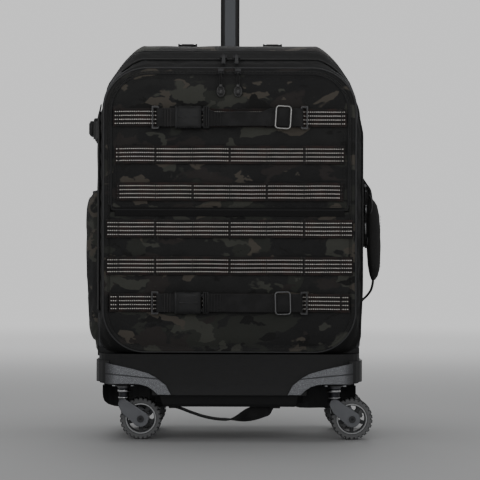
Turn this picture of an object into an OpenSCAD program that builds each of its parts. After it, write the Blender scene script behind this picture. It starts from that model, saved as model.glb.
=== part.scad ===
// Upright four-wheel soft bag: moulded base on swivel casters, fabric body,
// side-opening front lid, drop-down front pocket, webbing grid with two
// clip-on straps, and a single-post two-stage pull handle, drawn out.
// Millimetres. +Z up, the front faces -Y, +X is to the right seen from the front.
// Pieces are drawn from the body datum; place() centres them and sets the wheels on z = 0.

/* [Body] */
// Width of the soft body at its widest
body_w = 369; // [365:1:373]
// Height of the soft body's top above the body datum
body_top = 556.5; // [552:0.5:560]
// Width of the lid's face
lid_w = 346; // [340:1:350]
// Height of the lid's face top edge above the body datum
lid_top = 510; // [506:1:512]
// Thickness of the body fabric with its padding
fabric_t = 2.5; // [2:0.1:3]

/* [Base] */
// Height of the body datum, from which all heights are drawn, above the floor
datum_z = 4.2; // [4:0.1:4.5]
// Height of the base's flat underside above the body datum
base_z = 43; // [42.5:0.5:44]
// Width of the moulded base
base_w = 363; // [361:1:365]
// How far the corner guards stand proud of the base
guard_proud = 4; // [3:0.5:5]

/* [Casters] */
// Distance between the swivel axes across the bag
caster_x = 295; // [292:1:297]
// Distance between the swivel axes front to back
caster_y = 144; // [142:1:146]
// How far the wheel axle trails behind the swivel axis
caster_trail = 24; // [22:0.5:25]
// Outer radius of the tyre over its lugs
wheel_r = 29; // [28.5:0.5:29]
// Width of the tyre
wheel_w = 20; // [18:0.5:20]
// Number of lugs around the tyre
lugs = 26; // [20:2:30]

/* [Pull handle] */
// Travel of the lower stage
mid_travel = 215; // [180:5:215]
// Travel of the upper stage
top_travel = 200; // [160:5:200]
// Width of the grip
grip_w = 116; // [100:2:120]
// How far the grip's button travels
button_travel = 4; // [3:0.5:4]

/* [Webbing grid] */
// Height of one webbing strip
web_h = 25.4; // [25:0.1:25.4]
// Pitch of the strips
web_pitch = 50.8; // [50:0.1:51]
// Height of the lowest strip's centre above the body datum
web_z0 = 187.5; // [186:0.5:189]
// Number of strips
web_rows = 6; // [6:1:6]

/* [Hidden] */
$fn = 72;

front_y = -118;        // lid face
back_y = 115;          // back face
body_half = body_w/2;
lid_half = lid_w/2;
base_half = base_w/2;
side_wall_top = 125;   // top of the base's side walls
front_wall_top = 117;  // top of the base's front wall
insert_back_y = back_y + 2.56;  // outer face of the rear guard inserts
left_x = -203;         // outermost point on the left, on the side pocket
right_x = 216;         // outermost point on the right, on the side handle
foremost_y = -130.665; // outermost point at the front, on the strap rings
place_offset = [-(left_x + right_x)/2, -(foremost_y + insert_back_y)/2, datum_z];

// ---------- helpers ----------
// n + 1 points along an ellipse, from angle a0 to a1
function arc_pts(x, y, rx, ry, a0, a1, n) =
  [for (i = [0:n]) let (a = a0 + (a1 - a0)*i/n) [x + rx*cos(a), y + ry*sin(a)]];

// rounded rectangle, counter-clockwise, lower corners low_r, upper corners rx by ry
function rounded(x0, x1, y0, y1, low_r, rx, ry, n) = concat(
  arc_pts(x1 - low_r, y0 + low_r, low_r, low_r, -90, 0, n),
  arc_pts(x1 - rx, y1 - ry, rx, ry, 0, 90, n),
  arc_pts(x0 + rx, y1 - ry, rx, ry, 90, 180, n),
  arc_pts(x0 + low_r, y0 + low_r, low_r, low_r, 180, 270, n));

// outline in X and Y of the base
function plan_pts(half_w, y0, y1, r) = rounded(-half_w, half_w, y0, y1, r, r, r, 6);

// outline in X and Z of the body and lid
function arch_pts(half_w, z0, z1, low_r, rx, rz) =
  rounded(-half_w, half_w, z0, z1, low_r, rx, rz, 9);

module ngon(r, sides)
  polygon([for (i = [0:sides-1]) [r*cos(360*i/sides), r*sin(360*i/sides)]]);

module ring(outer_r, outer_sides, inner_r, inner_sides) difference() {
  ngon(outer_r, outer_sides);
  ngon(inner_r, inner_sides);
}

// centred tube around Z
module sleeve(outer_r, bore_r, length, bore_length = 30) difference() {
  cylinder(r = outer_r, h = length, center = true);
  cylinder(r = bore_r, h = bore_length, center = true);
}

// triangulated faces of a stack of k outlines with m points each
function loft_faces(k, m) = concat(
  [[for (j = [0:m-1]) j]],
  [for (i = [0:k-2]) for (j = [0:m-1]) [i*m + j, (i+1)*m + j, (i+1)*m + (j+1)%m]],
  [for (i = [0:k-2]) for (j = [0:m-1]) [i*m + j, (i+1)*m + (j+1)%m, i*m + (j+1)%m]],
  [[for (j = [m-1:-1:0]) (k-1)*m + j]]);

// stack of outlines in X and Z, one for each Y
module loft_y(ys, outlines)
  polyhedron([for (i = [0:len(ys)-1]) for (p = outlines[i]) [p[0], ys[i], p[1]]],
    [for (f = loft_faces(len(ys), len(outlines[0]))) [for (j = [len(f)-1:-1:0]) f[j]]],
    convexity = 6);

// stack of outlines in X and Y, one for each Z
module loft_z(zs, outlines)
  polyhedron([for (i = [0:len(zs)-1]) for (p = outlines[i]) [p[0], p[1], zs[i]]],
    loft_faces(len(zs), len(outlines[0])), convexity = 6);

// plate in the X-Z plane between two Y positions
module plate_y(y0, y1)
  translate([0, y1, 0]) rotate([90, 0, 0]) linear_extrude(y1 - y0, convexity = 6) children();

module box(low, high) translate(low) cube(high - low);
module both_sides() for (side = [0, 1]) mirror([side, 0, 0]) children();
module place() translate(place_offset) children();

// ---------- base ----------
axis_x = caster_x/2;
axis_y = caster_y/2;
well_top = base_z + 33; // ceiling of the wheel wells
base_wall = 3;
lip_inset = 0.3;        // of the raised side and back walls from the base's outside

// tray sections: z, half width, front y, back y, corner radius
TRAY_SECTIONS = [
  [base_z, base_half - 29, -97, 97, 24],
  [base_z + 4, base_half - 14, -101, 101, 30],
  [base_z + 14, base_half - 5, -105, 106, 32],
  [base_z + 17, base_half - 3.2, -106, 109, 32],
  [base_z + 17.4, base_half - 3, front_y, 111, 32],
  [base_z + 35, base_half - 0.5, front_y, back_y - 0.5, 34],
  [base_z + 55, base_half, front_y, back_y, 34],
  [front_wall_top, base_half, front_y, back_y, 34]];

// skid between the front and rear wheels: x, z
SKID_PTS = [
  [88, base_z + 0.5], [93, base_z - 5.6], [101, base_z - 7.6], [150, base_z - 8.8],
  [165, base_z - 6.6], [174, base_z - 3.4], [179, base_z + 1.4], [base_half - 0.6, base_z + 7],
  [base_half, base_z + 14], [base_half, base_z + 24], [88, base_z + 24]];

// fender insert over the left wheel: x, z
INSERT_PTS = [
  [-170, 76.2], [-170, 105], [-132, 96.5], [-111, 90.5], [-100, 84.5], [-87, 74.2],
  [-80.5, 61.4], [-98, 61.4], [-104, 67.2], [-112, 72.5], [-122, 75.4], [-133, 76.2]];

module tray() difference() {
  union() {
    loft_z([for (s = TRAY_SECTIONS) s[0]],
      [for (s = TRAY_SECTIONS) plan_pts(s[1], s[2], s[3], s[4])]);
    translate([0, 0, front_wall_top - 0.5]) linear_extrude(side_wall_top - front_wall_top + 0.5)
      polygon(rounded(-base_half + lip_inset, base_half - lip_inset, -88, back_y - lip_inset,
        1, 33.7, 33.7, 6));
  }
  // upper hollow, under the front shelf and behind the sill
  translate([0, 0, 80]) linear_extrude(front_wall_top - 83)
    polygon(plan_pts(base_half - base_wall, front_y + base_wall, back_y - base_wall, 31));
  translate([0, 0, front_wall_top - 4]) linear_extrude(20)
    polygon(rounded(-base_half + 3.4, base_half - 3.4, -85, back_y - 3.4, 1, 30.6, 30.6, 6));
  // lower hollow between the wheel wells
  box([-78, -92, base_z + base_wall], [78, 78, 81]);
  box([-78, 77, 60.5], [78, 105, 81]);
  // wheel wells
  at_casters() translate([0, 0, base_z - 1]) linear_extrude(well_top - base_z + 1) ngon(62, 40);
}

module skid() difference() {
  plate_y(-26, 26) polygon(SKID_PTS);
  for (end = [-1, 1]) translate([axis_x, end*axis_y, base_z - 12]) linear_extrude(60) ngon(57, 40);
}

module base_tray() color([0.10, 0.10, 0.11]) {
  tray();
  both_sides() skid();
}

// wrap-around band, cut to a piece at each corner
module corner_guards() color([0.07, 0.07, 0.075])
  both_sides() for (span = [[front_y + 3, -30], [27, back_y - 3]]) intersection() {
    translate([0, 0, 78]) linear_extrude(29.5) difference() {
      polygon(plan_pts(base_half + guard_proud, front_y - 0.01, back_y + 0.01, 36));
      polygon(plan_pts(base_half + 0.1, front_y - 1, back_y + 1, 34));
    }
    box([-base_half - 10, span[0], 70], [-base_half + 30, span[1], 120]);
  }

module guard_inserts() color([0.46, 0.45, 0.48]) both_sides() {
  plate_y(front_y - 3.6, front_y - 0.05) polygon(INSERT_PTS);
  plate_y(back_y + 0.05, insert_back_y) intersection() {
    polygon(INSERT_PTS);
    translate([-180, 78]) square([120, 40]);
  }
}

// ---------- casters, the wheels trailing to the right ----------
axle_z = wheel_r - datum_z;
swivel_r = 4;
swivel_bottom = 53.2;
axle_r = 3;
hub_r = 21.4;
lug_h = 1.8;

// side: -1 left, 1 right; end: -1 front, 1 rear
module at_caster(side, end) translate([side*axis_x, end*axis_y, 0]) children();
module at_casters() for (side = [-1, 1], end = [-1, 1]) at_caster(side, end) children();
module at_axle() translate([caster_trail, 0, axle_z]) children();

module caster_mounts() color([0.12, 0.12, 0.13]) at_casters() difference() {
  union() {
    translate([0, 0, well_top - 3.8]) linear_extrude(3.8) ngon(23, 32);
    translate([0, 0, well_top - 5.5]) linear_extrude(2) ring(14, 32, 11.6, 32);
  }
  translate([0, 0, 60]) cylinder(r = swivel_r + 0.03, h = 30);
}

// pin with a washer above the fork
module swivel_pins() color([0.62, 0.62, 0.64]) at_casters() {
  translate([0, 0, swivel_bottom]) cylinder(r = swivel_r, h = well_top - swivel_bottom - 0.1);
  translate([0, 0, 69.2]) difference() {
    cylinder(r = 11, h = 2.8);
    translate([0, 0, -1]) cylinder(r = swivel_r + 0.2, h = 5);
  }
}

module base_screws() color([0.70, 0.70, 0.72]) at_casters() for (a = [45, 135, 225, 315]) rotate(a)
  translate([18, 0, well_top - 5.6]) linear_extrude(1.7) ring(3, 16, 1.3, 6);

module fork() color([0.20, 0.21, 0.24]) difference() {
  union() {
    // neck and its collars: bottom z, radius, height
    for (c = [[44, 7.2, 25], [52.8, 8.1, 1.8], [61.6, 8.6, 3.2], [66.6, 8.8, 2.4]])
      translate([0, 0, c[0]]) cylinder(r = c[1], h = c[2]);
    plate_y(-15.6, 15.6) hull() {
      translate([-0.3, 46]) circle(7, $fn = 28);
      translate([1.6, 37]) circle(5, $fn = 24);
      translate([caster_trail, axle_z]) circle(11.2, $fn = 36);
    }
  }
  // space for the wheel
  plate_y(-11.2, 11.2) translate([caster_trail, axle_z]) ngon(wheel_r + 2.4, 40);
  translate([0, 0, 52.8]) cylinder(r = swivel_r + 0.05, h = 26);
  translate([caster_trail, 20, axle_z]) rotate([90, 0, 0]) cylinder(r = axle_r + 0.03, h = 40);
}

// axle with a socketed head at each end
module axle() color([0.05, 0.05, 0.05]) at_axle() rotate([90, 0, 0]) {
  cylinder(r = axle_r, h = 31.3, center = true);
  for (side = [-1, 1]) translate([0, 0, side*16.6]) difference() {
    cylinder(r = 4.9, h = 1.9, center = true);
    translate([0, 0, side*0.8]) linear_extrude(1.2, center = true) ngon(2.2, 6);
  }
}

// disc recessed on both faces, with five windows
module hub() color([0.42, 0.42, 0.42]) at_axle() difference() {
  plate_y(-9.2, 9.2) ngon(hub_r, 48);
  plate_y(-12, -4) ring(19.6, 48, 8, 24);
  plate_y(4, 12) ring(19.6, 48, 8, 24);
  for (k = [0:4]) rotate([0, 72*k + 18, 0]) plate_y(-12, 12)
    polygon(concat(arc_pts(0, 0, 18.4, 18.4, 8, 64, 6), arc_pts(0, 0, 10.6, 10.6, 56, 16, 4)));
  rotate([90, 0, 0]) cylinder(r = axle_r + 0.06, h = 60, center = true);
}

function polar(r, a) = [r*cos(a), r*sin(a)];
function tyre_pts() = [for (k = [0:lugs-1])
  let (a = 360*k/lugs - 90, step = 360/lugs, root_r = wheel_r - lug_h)
  each [polar(wheel_r, a - step*0.28), polar(wheel_r, a + step*0.28),
    polar(root_r, a + step*0.36), polar(root_r, a + step*0.64)]];

module tyre() color([0.22, 0.22, 0.22]) at_axle() difference() {
  plate_y(-wheel_w/2, wheel_w/2) polygon(tyre_pts());
  plate_y(-12, 12) ngon(hub_r + 0.08, 48);
}

module fork_front_left() at_caster(-1, -1) fork();
module axle_front_left() at_caster(-1, -1) axle();
module hub_front_left() at_caster(-1, -1) hub();
module tyre_front_left() at_caster(-1, -1) tyre();
module fork_front_right() at_caster(1, -1) fork();
module axle_front_right() at_caster(1, -1) axle();
module hub_front_right() at_caster(1, -1) hub();
module tyre_front_right() at_caster(1, -1) tyre();
module fork_rear_left() at_caster(-1, 1) fork();
module axle_rear_left() at_caster(-1, 1) axle();
module hub_rear_left() at_caster(-1, 1) hub();
module tyre_rear_left() at_caster(-1, 1) tyre();
module fork_rear_right() at_caster(1, 1) fork();
module axle_rear_right() at_caster(1, 1) axle();
module hub_rear_right() at_caster(1, 1) hub();
module tyre_rear_right() at_caster(1, 1) tyre();

// ---------- soft body ----------
post_y = 92.5; // pull handle's centre, front to back

// body sections: y, half width, top, corner width, corner height
BODY_SECTIONS = [
  [-88, body_half - 2.5, 526, 62, 76],
  [-18, body_half - 0.4, 553, 69, 90],
  [32, body_half, body_top, 70, 92],
  [96, body_half - 2.5, 554.3, 69, 90],
  [109, body_half - 6, 549, 64, 84],
  [back_y, body_half - 13, 541, 58, 78]];
CAVITY_FRONT = [-95, body_half - 2.7, 523.3, 62, 76];

function body_pts(s, inset, z0) =
  arch_pts(s[1] - inset, z0, s[2] - inset, 0.8, s[3] - inset*0.6, s[4] - inset*0.6);

module main_shell() color([0.16, 0.15, 0.14]) difference() {
  loft_y([for (s = BODY_SECTIONS) s[0]],
    [for (s = BODY_SECTIONS) body_pts(s, 0, side_wall_top + 0.1)]);
  // cavity, open to the front and below
  loft_y([CAVITY_FRONT[0], for (i = [1:4]) min(BODY_SECTIONS[i][0], 108), back_y - fabric_t],
    [body_pts(CAVITY_FRONT, fabric_t, 100),
     for (i = [1:4]) body_pts(BODY_SECTIONS[i], fabric_t, 100),
     body_pts(BODY_SECTIONS[5], fabric_t - 1, 100)]);
  // opening for the pull handle
  box([-17.5, post_y - 11, 500], [17.5, post_y + 11, 600]);
}

module frame_board() color([0.75, 0.75, 0.73])
  plate_y(106, 108.6) polygon(rounded(-158, 158, 81, 528, 24, 50, 60, 6));

module frame_hoop() color([0.55, 0.55, 0.56]) plate_y(-87, -82.5) difference() {
  polygon(arch_pts(body_half - 6, side_wall_top + 0.1, 521.5, 0.8, 58, 71));
  polygon(arch_pts(body_half - 10, side_wall_top - 10, 517.5, 0.8, 54, 67));
}

// runs round all but the left side
module main_zip_coil() color([0.05, 0.05, 0.05]) plate_y(-90.9, -88) difference() {
  polygon(arch_pts(body_half - 2.0, front_wall_top + 0.7, 526.6, 24, 63, 77));
  polygon(arch_pts(body_half - 5.4, front_wall_top + 4.1, 523.2, 21, 60, 74));
  translate([-200, 100]) square([50, 500]);
}

// ---------- side pocket and side strap, on the left ----------
// outside and inside of the pocket: x, z
POCKET_OUTER = [
  [-body_half - 0.4, 131], [-191, 131], [-197.5, 140], [-201.4, 160], [left_x, 195],
  [left_x, 318], [-201.6, 334], [-199, 343], [-body_half - 0.4, 343]];
POCKET_INNER = [
  [-body_half - 1.6, 133], [-190, 133], [-196, 142], [-199.6, 161], [left_x + 1.8, 196],
  [left_x + 1.8, 317], [-199.8, 333.5], [-197, 344], [-body_half - 1.6, 344]];

module side_pocket() color([0.13, 0.13, 0.13]) difference() {
  plate_y(-46, 60) polygon(POCKET_OUTER);
  plate_y(-44.2, 58.2) polygon(POCKET_INNER);
}

// front and rear lengths, each rising from the body to the buckle
module side_strap() color([0.06, 0.06, 0.06]) translate([-body_half, 0, 419.5]) linear_extrude(25) {
  polygon([[-0.5, -66], [-0.5, -50], [-10.6, -22.2], [-12.6, -22.2], [-2.6, -50], [-2.6, -66]]);
  polygon([[-0.5, 96], [-2.6, 96], [-2.6, 56], [-12.6, 24.4], [-10.6, 24.4], [-0.5, 56]]);
}

// buckle lying in the X-Z plane, facing -Y, centred on the joint line, mating along X
module buckle_socket() difference() {
  plate_y(-9, 0) polygon([
    [-36, -12], [-34, -14], [-30, -16], [-6, -16], [-1, -13.6], [0, -12.4],
    [0, 12.4], [-1, 13.6], [-6, 16], [-30, 16], [-34, 14], [-36, 12]]);
  plate_y(-7, -2) polygon([[-28, -10.5], [1, -10.5], [1, 10.5], [-28, 10.5]]);
  // side windows
  for (s = [-1, 1]) plate_y(-7, -2) polygon([[-26, s*9], [-9, s*9], [-7.5, s*20], [-22, s*20]]);
  // strap slot
  plate_y(-12, 3) polygon([[-34, -10], [-31.8, -10], [-31.8, 10], [-34, 10]]);
}

module buckle_tongue() {
  plate_y(-9, 0) difference() {
    polygon([[0.4, -13.6], [8.6, -13.6], [9.6, -12.6], [9.6, 12.6], [8.6, 13.6], [0.4, 13.6]]);
    polygon([[3.4, -10.6], [5.2, -10.6], [5.2, 10.6], [3.4, 10.6]]);
  }
  // two side prongs and a centre one
  plate_y(-6.7, -2.3) for (s = [-1, 1]) polygon([
    [1, s*5.4], [-17, s*7.2], [-21, s*9.8], [-20, s*11.6],
    [-15.4, s*12.6], [-11.6, s*12.4], [-9.6, s*10.2], [1, s*9.6]]);
  plate_y(-6.7, -2.3) polygon([[1, -1.6], [-20, -1.1], [-20, 1.1], [1, 1.6]]);
}

module buckle() {
  buckle_socket();
  buckle_tongue();
}

module side_buckle() color([0.05, 0.05, 0.055])
  translate([-body_half - 7.5, -12, 432]) rotate([0, 0, -90]) buckle();

// ---------- carry handles ----------
anchor_x = 62;                // top bridges, either side of the middle
anchor_y = 20;
anchor_bar_z = body_top + 4;
anchor_bar_r = 1.6;
swing_x = 195.6;              // side handle's ring bars
swing_r = 1.3;
bottom_strap_z = base_z - 0.1;
bottom_strap_low = base_z - 2.2;

module handle_anchors() color([0.55, 0.55, 0.57]) {
  // top: two bridges with a bar along X
  for (s = [-1, 1]) translate([s*anchor_x, anchor_y, 0]) {
    box([-15, -8, body_top + 0.1], [15, 8, body_top + 0.7]);
    for (t = [-1, 1]) translate([t*12.8, 0, 0])
      box([-1.2, -2.4, body_top + 0.6], [1.2, 2.4, body_top + 6.2]);
    translate([-12, 0, anchor_bar_z]) rotate([0, 90, 0]) cylinder(r = anchor_bar_r, h = 24);
  }
  // right side: two plates
  for (z = [354, 187]) box([body_half + 0.3, -9, z - 9], [body_half + 1.4, 9, z + 9]);
}

// two looped straps and the padded grip lying behind them
module top_handle() color([0.06, 0.06, 0.06]) {
  for (s = [-1, 1]) translate([s*anchor_x, anchor_y, anchor_bar_z]) {
    rotate([0, 90, 0]) sleeve(3, anchor_bar_r + 0.06, 22);
    box([-11, 2.9, -1.2], [11, 24.5, 1.2]);
  }
  translate([-74, 44, body_top + 0.9]) linear_extrude(6.6)
    polygon(rounded(0, 148, 0, 20, 6, 6, 6, 4));
}

// padded grip, its upper and lower webbing, and the rings; outlines are x, z
module side_handle() color([0.10, 0.10, 0.10]) {
  plate_y(-14, 14) polygon([
    [196.5, 228], [200, 221], [205.5, 219.4], [211, 223], [214.6, 238], [right_x, 262],
    [right_x, 296], [214.4, 318], [210.5, 330], [205, 335.6], [199.5, 334], [196.4, 326],
    [195.4, 300], [195.2, 255]]);
  plate_y(-11, 11) polygon([[199, 334.2], [203.4, 335.8], [197.2, 343.4], [194.6, 341.4]]);
  plate_y(-11, 11) polygon([[204, 219.4], [200, 221.2], [193.8, 203.6], [196.4, 201.8]]);
  // heights of apex and base bar
  swing_ring(355, 344);
  swing_ring(186, 201);
}

// triangle ring: apex at the body, base bar at the handle's webbing
module swing_ring(apex_z, bar_z) {
  translate([swing_x, 0, bar_z]) rotate([90, 0, 0]) cylinder(r = swing_r, h = 25, center = true);
  for (s = [-1, 1]) hull() {
    translate([swing_x, s*12.5, bar_z]) sphere(swing_r, $fn = 10);
    translate([body_half + 3.4, 0, apex_z]) sphere(swing_r, $fn = 10);
  }
}

// sagging middle of the bottom strap, t from 0 to 1, shifted up by dz
function sag(t, dz) = [-68 + 120*t, base_z - 1.4 - 17.6*pow(sin(180*t), 1.25) + dz];

module bottom_handle() color([0.05, 0.05, 0.05]) plate_y(-94, -72) polygon(concat(
  [[-76, bottom_strap_z], [-76, bottom_strap_low], [-69, bottom_strap_low]],
  [for (i = [1:11]) sag(i/12, -1.1)],
  [[53, bottom_strap_low], [60, bottom_strap_low], [60, bottom_strap_z], [51, bottom_strap_z]],
  [for (i = [11:-1:1]) sag(i/12, 1.1)],
  [[-67, bottom_strap_z]]));

// ---------- pull handle ----------
// post sections: width, depth, corner radius
OUTER_SIZE = [34, 21, 4.5];
MID_SIZE = [28.6, 16, 4];
INNER_SIZE = [23.6, 11, 3];
BUTTON_SIZE = [28, 14, 2.8];

bezel_bottom = body_top + 0.5;
bezel_top = 563.5;
bezel_flange = 3;
collar_h = 6;       // collar at the top of the lower stage
grip_h = 22;
grip_neck = 32;     // from the grip's top down to the end of its neck
button_depth = 6.5; // of the button inside the grip
lock_z = 570;
lock_r = 2.5;
rod_bottom = 580;
mid_top = bezel_top + 0.5 + collar_h + mid_travel;
grip_top = mid_top + 5 + grip_neck + top_travel;

module post_section(size) polygon(rounded(-size[0]/2, size[0]/2, -size[1]/2, size[1]/2,
  size[2], size[2], size[2], 3));

module tube(z0, z1, size, wall)
  translate([0, post_y, z0]) linear_extrude(z1 - z0, convexity = 4) difference() {
    post_section(size);
    post_section([size[0] - 2*wall, size[1] - 2*wall, max(size[2] - wall, 0.8)]);
  }

module handle_outer_tube() color([0.60, 0.61, 0.63]) tube(66, body_top + 0.4, OUTER_SIZE, 1.8);

module handle_bezel() color([0.05, 0.05, 0.05]) translate([0, post_y, bezel_bottom]) difference() {
  union() {
    linear_extrude(bezel_flange) post_section([62, 38, 9]);
    translate([0, 0, bezel_flange]) linear_extrude(bezel_top - bezel_bottom - bezel_flange)
      post_section([46, 29, 7]);
  }
  translate([0, 0, -1]) linear_extrude(20) post_section(MID_SIZE + [0.8, 0.8, 0.2]);
}

module handle_foot() color([0.08, 0.08, 0.08]) difference() {
  box([-28, post_y - 14, 60.7], [28, post_y + 12, 78]);
  translate([0, post_y, 65.9]) linear_extrude(20) post_section(OUTER_SIZE + [0.4, 0.4, 0.1]);
}

module handle_mid_tube() color([0.24, 0.25, 0.27]) {
  tube(mid_top - 460, mid_top - collar_h, MID_SIZE, 1.5);
  tube(mid_top - collar_h, mid_top, [31.4, 18.6, 5], 3.2);
}

module handle_inner_tube() color([0.24, 0.25, 0.27]) difference() {
  tube(560, grip_top - grip_h - 0.2, INNER_SIZE, 1.4);
  translate([0, post_y, lock_z]) rotate([-90, 0, 0]) cylinder(r = lock_r + 0.05, h = 10);
}

module handle_grip() color([0.05, 0.05, 0.055]) difference() {
  translate([0, post_y, 0]) {
    plate_y(-14, 14)
      polygon(rounded(-grip_w/2, grip_w/2, grip_top - grip_h, grip_top, 9, 11, 11, 5));
    plate_y(-11, 11) polygon([
      [-34, grip_top - 18], [-20, grip_top - grip_neck],
      [20, grip_top - grip_neck], [34, grip_top - 18]]);
  }
  // sockets for the inner tube and the button, and the rod's bore
  translate([0, post_y, grip_top - grip_neck - 1]) linear_extrude(11)
    post_section(INNER_SIZE + [0.3, 0.3, 0.1]);
  translate([0, post_y, grip_top - 11]) linear_extrude(20)
    post_section(BUTTON_SIZE + [0.4, 0.4, 0.2]);
  translate([0, post_y, grip_top - 30]) cylinder(r = 2.4, h = 30);
}

module grip_button() color([0.45, 0.46, 0.48]) translate([0, post_y, grip_top - button_depth])
  linear_extrude(button_depth + button_travel) post_section(BUTTON_SIZE);
module push_rod() color([0.70, 0.70, 0.70]) translate([0, post_y, rod_bottom])
  cylinder(r = 2, h = grip_top - button_depth - 0.1 - rod_bottom);
module lock_pin() color([0.72, 0.72, 0.70]) translate([0, post_y - 0.8, lock_z])
  rotate([-90, 0, 0]) cylinder(r = lock_r, h = 6.6);

// ---------- lid ----------
mouth_z = 312.5;  // bottom of the pocket mouth
foot_w = 4;       // width of a stitched foot under the webbing
STITCH_X = [for (i = [-3:3]) 51*i];
// half length of each strip, lowest first; the lower three are on the lid, the rest on the flap
STRIP_HALF = [165, 169.5, 169.5, 156, 158, 160];

function row_z(i) = web_z0 + i*web_pitch;

module lid_shell() color([0.17, 0.16, 0.15]) difference() {
  loft_y([front_y, front_y + 2, -91], [
    arch_pts(lid_half - 1.6, 121.6, lid_top - 1.6, 56, 60, 57),
    arch_pts(lid_half, 120, lid_top, 57, 61, 58),
    arch_pts(body_half - 3.2, front_wall_top + 1.2, 524.4, 24, 62, 74)]);
  // hollow from behind
  loft_y([-99, -85], [
    arch_pts(body_half - 9, 124, 515.5, 30, 58, 66),
    arch_pts(body_half - 6, 122, 522, 24, 60, 72)]);
  plate_y(front_y + 3, -98) polygon(arch_pts(lid_half - 5, 125, 309, 52, 4, 4));
  // front pocket
  plate_y(front_y - 1, -102) polygon(arch_pts(lid_half - 7, mouth_z, lid_top - 3, 4, 56, 54));
}

module flap_panel() color([0.18, 0.17, 0.16]) plate_y(front_y, front_y + 4)
  polygon(arch_pts(lid_half - 10, mouth_z + 1.5, lid_top - 7.6, 3, 53, 51));

// one webbing strip held by stitched feet
module strip(z, half) {
  end_x = half - 2.5;
  plate_y(front_y - 3.2, front_y - 1.7) translate([-half, z - web_h/2]) square([2*half, web_h]);
  for (x = [-end_x, for (s = STITCH_X) if (abs(s) < half - 12) s, end_x])
    plate_y(front_y - 1.8, front_y - 0.05)
      translate([x - foot_w/2, z - web_h/2]) square([foot_w, web_h]);
}

module lid_webbing() color([0.30, 0.26, 0.24]) for (i = [0:2]) strip(row_z(i), STRIP_HALF[i]);
module flap_webbing() color([0.30, 0.26, 0.24])
  for (i = [3:web_rows-1]) strip(row_z(i), STRIP_HALF[i]);

// ---------- clip-on straps, over the lowest and highest webbing strips ----------
lower_z = row_z(0);
upper_z = row_z(web_rows - 1);
hook_x = 98;               // hook bars, either side of the middle
hook_y = front_y - 6.6;
hook_bar_r = 1.5;
hook_face_y = front_y - 8; // front of the stamped frame
strap_y = front_y - 9.6;   // front of the strap
strap_t = 1.4;

// stamped hook: bar for the strap loop, frame, and a tongue behind the webbing strip;
// side is the way it points
module hook(z, side) {
  bar_x = side*hook_x;
  frame_x = side > 0 ? bar_x + 6.6 : bar_x - 9;
  translate([bar_x, hook_y, z]) cylinder(r = hook_bar_r, h = 29, center = true);
  for (t = [-1, 1]) plate_y(hook_face_y, front_y - 5.2)
    translate([min(bar_x, bar_x + side*8), z + t*14.3 - 1.4]) square([8, 2.8]);
  plate_y(hook_face_y, front_y - 5.2) translate([frame_x, z - 15.7]) square([2.4, 31.4]);
  plate_y(hook_face_y, front_y - 0.3) translate([frame_x, z + 13.3]) square([2.4, 2.4]);
  plate_y(front_y - 1.5, front_y - 0.3) translate([frame_x, z - 8]) square([2.4, 23.7]);
}

module clip_hooks(z) for (side = [-1, 1]) hook(z, side);

module clip_strap(z) {
  for (side = [-1, 1]) translate([side*hook_x, hook_y, z]) sleeve(3, hook_bar_r + 0.1, 23);
  // short tail from the left hook to the socket
  plate_y(strap_y, strap_y + strap_t) translate([-hook_x, z - 11.5]) square([23, 23]);
  // long strap from the tongue to the right hook
  plate_y(strap_y, strap_y + strap_t) translate([-29, z - 12.5]) square([hook_x + 29, 25]);
}

module clip_buckle(z) translate([-38.6, front_y - 3.4, z]) buckle();

// rectangular slide ring, tilted so that one side bar passes in front of the strap and one behind
module clip_ring(z)
  translate([75, front_y - 8.6, z]) rotate([0, 0, 15]) plate_y(-1.1, 1.1) difference() {
    polygon(rounded(-11.6, 11.6, -16.4, 16.4, 3, 3, 3, 3));
    polygon(rounded(-8.6, 8.6, -13.4, 13.4, 1, 1, 1, 2));
  }

module lower_strap() color([0.05, 0.05, 0.05]) clip_strap(lower_z);
module lower_buckle() color([0.05, 0.05, 0.055]) clip_buckle(lower_z);
module lower_hooks() color([0.30, 0.30, 0.31]) clip_hooks(lower_z);
module lower_ring() color([0.30, 0.30, 0.31]) clip_ring(lower_z);
module upper_strap() color([0.05, 0.05, 0.05]) clip_strap(upper_z);
module upper_buckle() color([0.05, 0.05, 0.055]) clip_buckle(upper_z);
module upper_hooks() color([0.62, 0.62, 0.62]) clip_hooks(upper_z);
module upper_ring() color([0.66, 0.66, 0.66]) clip_ring(upper_z);

// ---------- zip sliders; side: -1 left, 1 right ----------
tab_pin_r = 0.9;

module at_pocket_slider(side) translate([side*11.8 - 0.8, 0, 0]) children();
module at_tab_pin() translate([0, front_y - 5.7, 502.4]) rotate([0, 90, 0]) children();

// body, bridge and hanging pull
module main_slider(side) color([0.35, 0.35, 0.36]) translate([side*9, 0, 0]) {
  box([-4.4, -97, 527], [4.4, -87.2, 530.6]);
  box([-1.3, -95, 530.4], [1.3, -89, 532.6]);
  hull() {
    box([-2.2, -98.4, 528.2], [2.2, -96.6, 530.2]);
    box([-2.6, -114.6, 516.8], [2.6, -113.4, 518.6]);
  }
}

// body with a pin between two lugs
module pocket_slider(side) color([0.35, 0.35, 0.36]) at_pocket_slider(side) {
  plate_y(front_y - 3.4, front_y - 0.3) polygon([
    [-4.2, 509.2], [-4.2, 506], [-2.8, 500.6], [2.8, 500.6], [4.2, 506], [4.2, 509.2]]);
  at_tab_pin() cylinder(r = tab_pin_r, h = 6.6, center = true);
  for (t = [-1, 1]) translate([t*3, 0, 0])
    plate_y(front_y - 6.9, front_y - 3.2) translate([-0.7, 501.1]) square([1.4, 2.6]);
}

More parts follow.
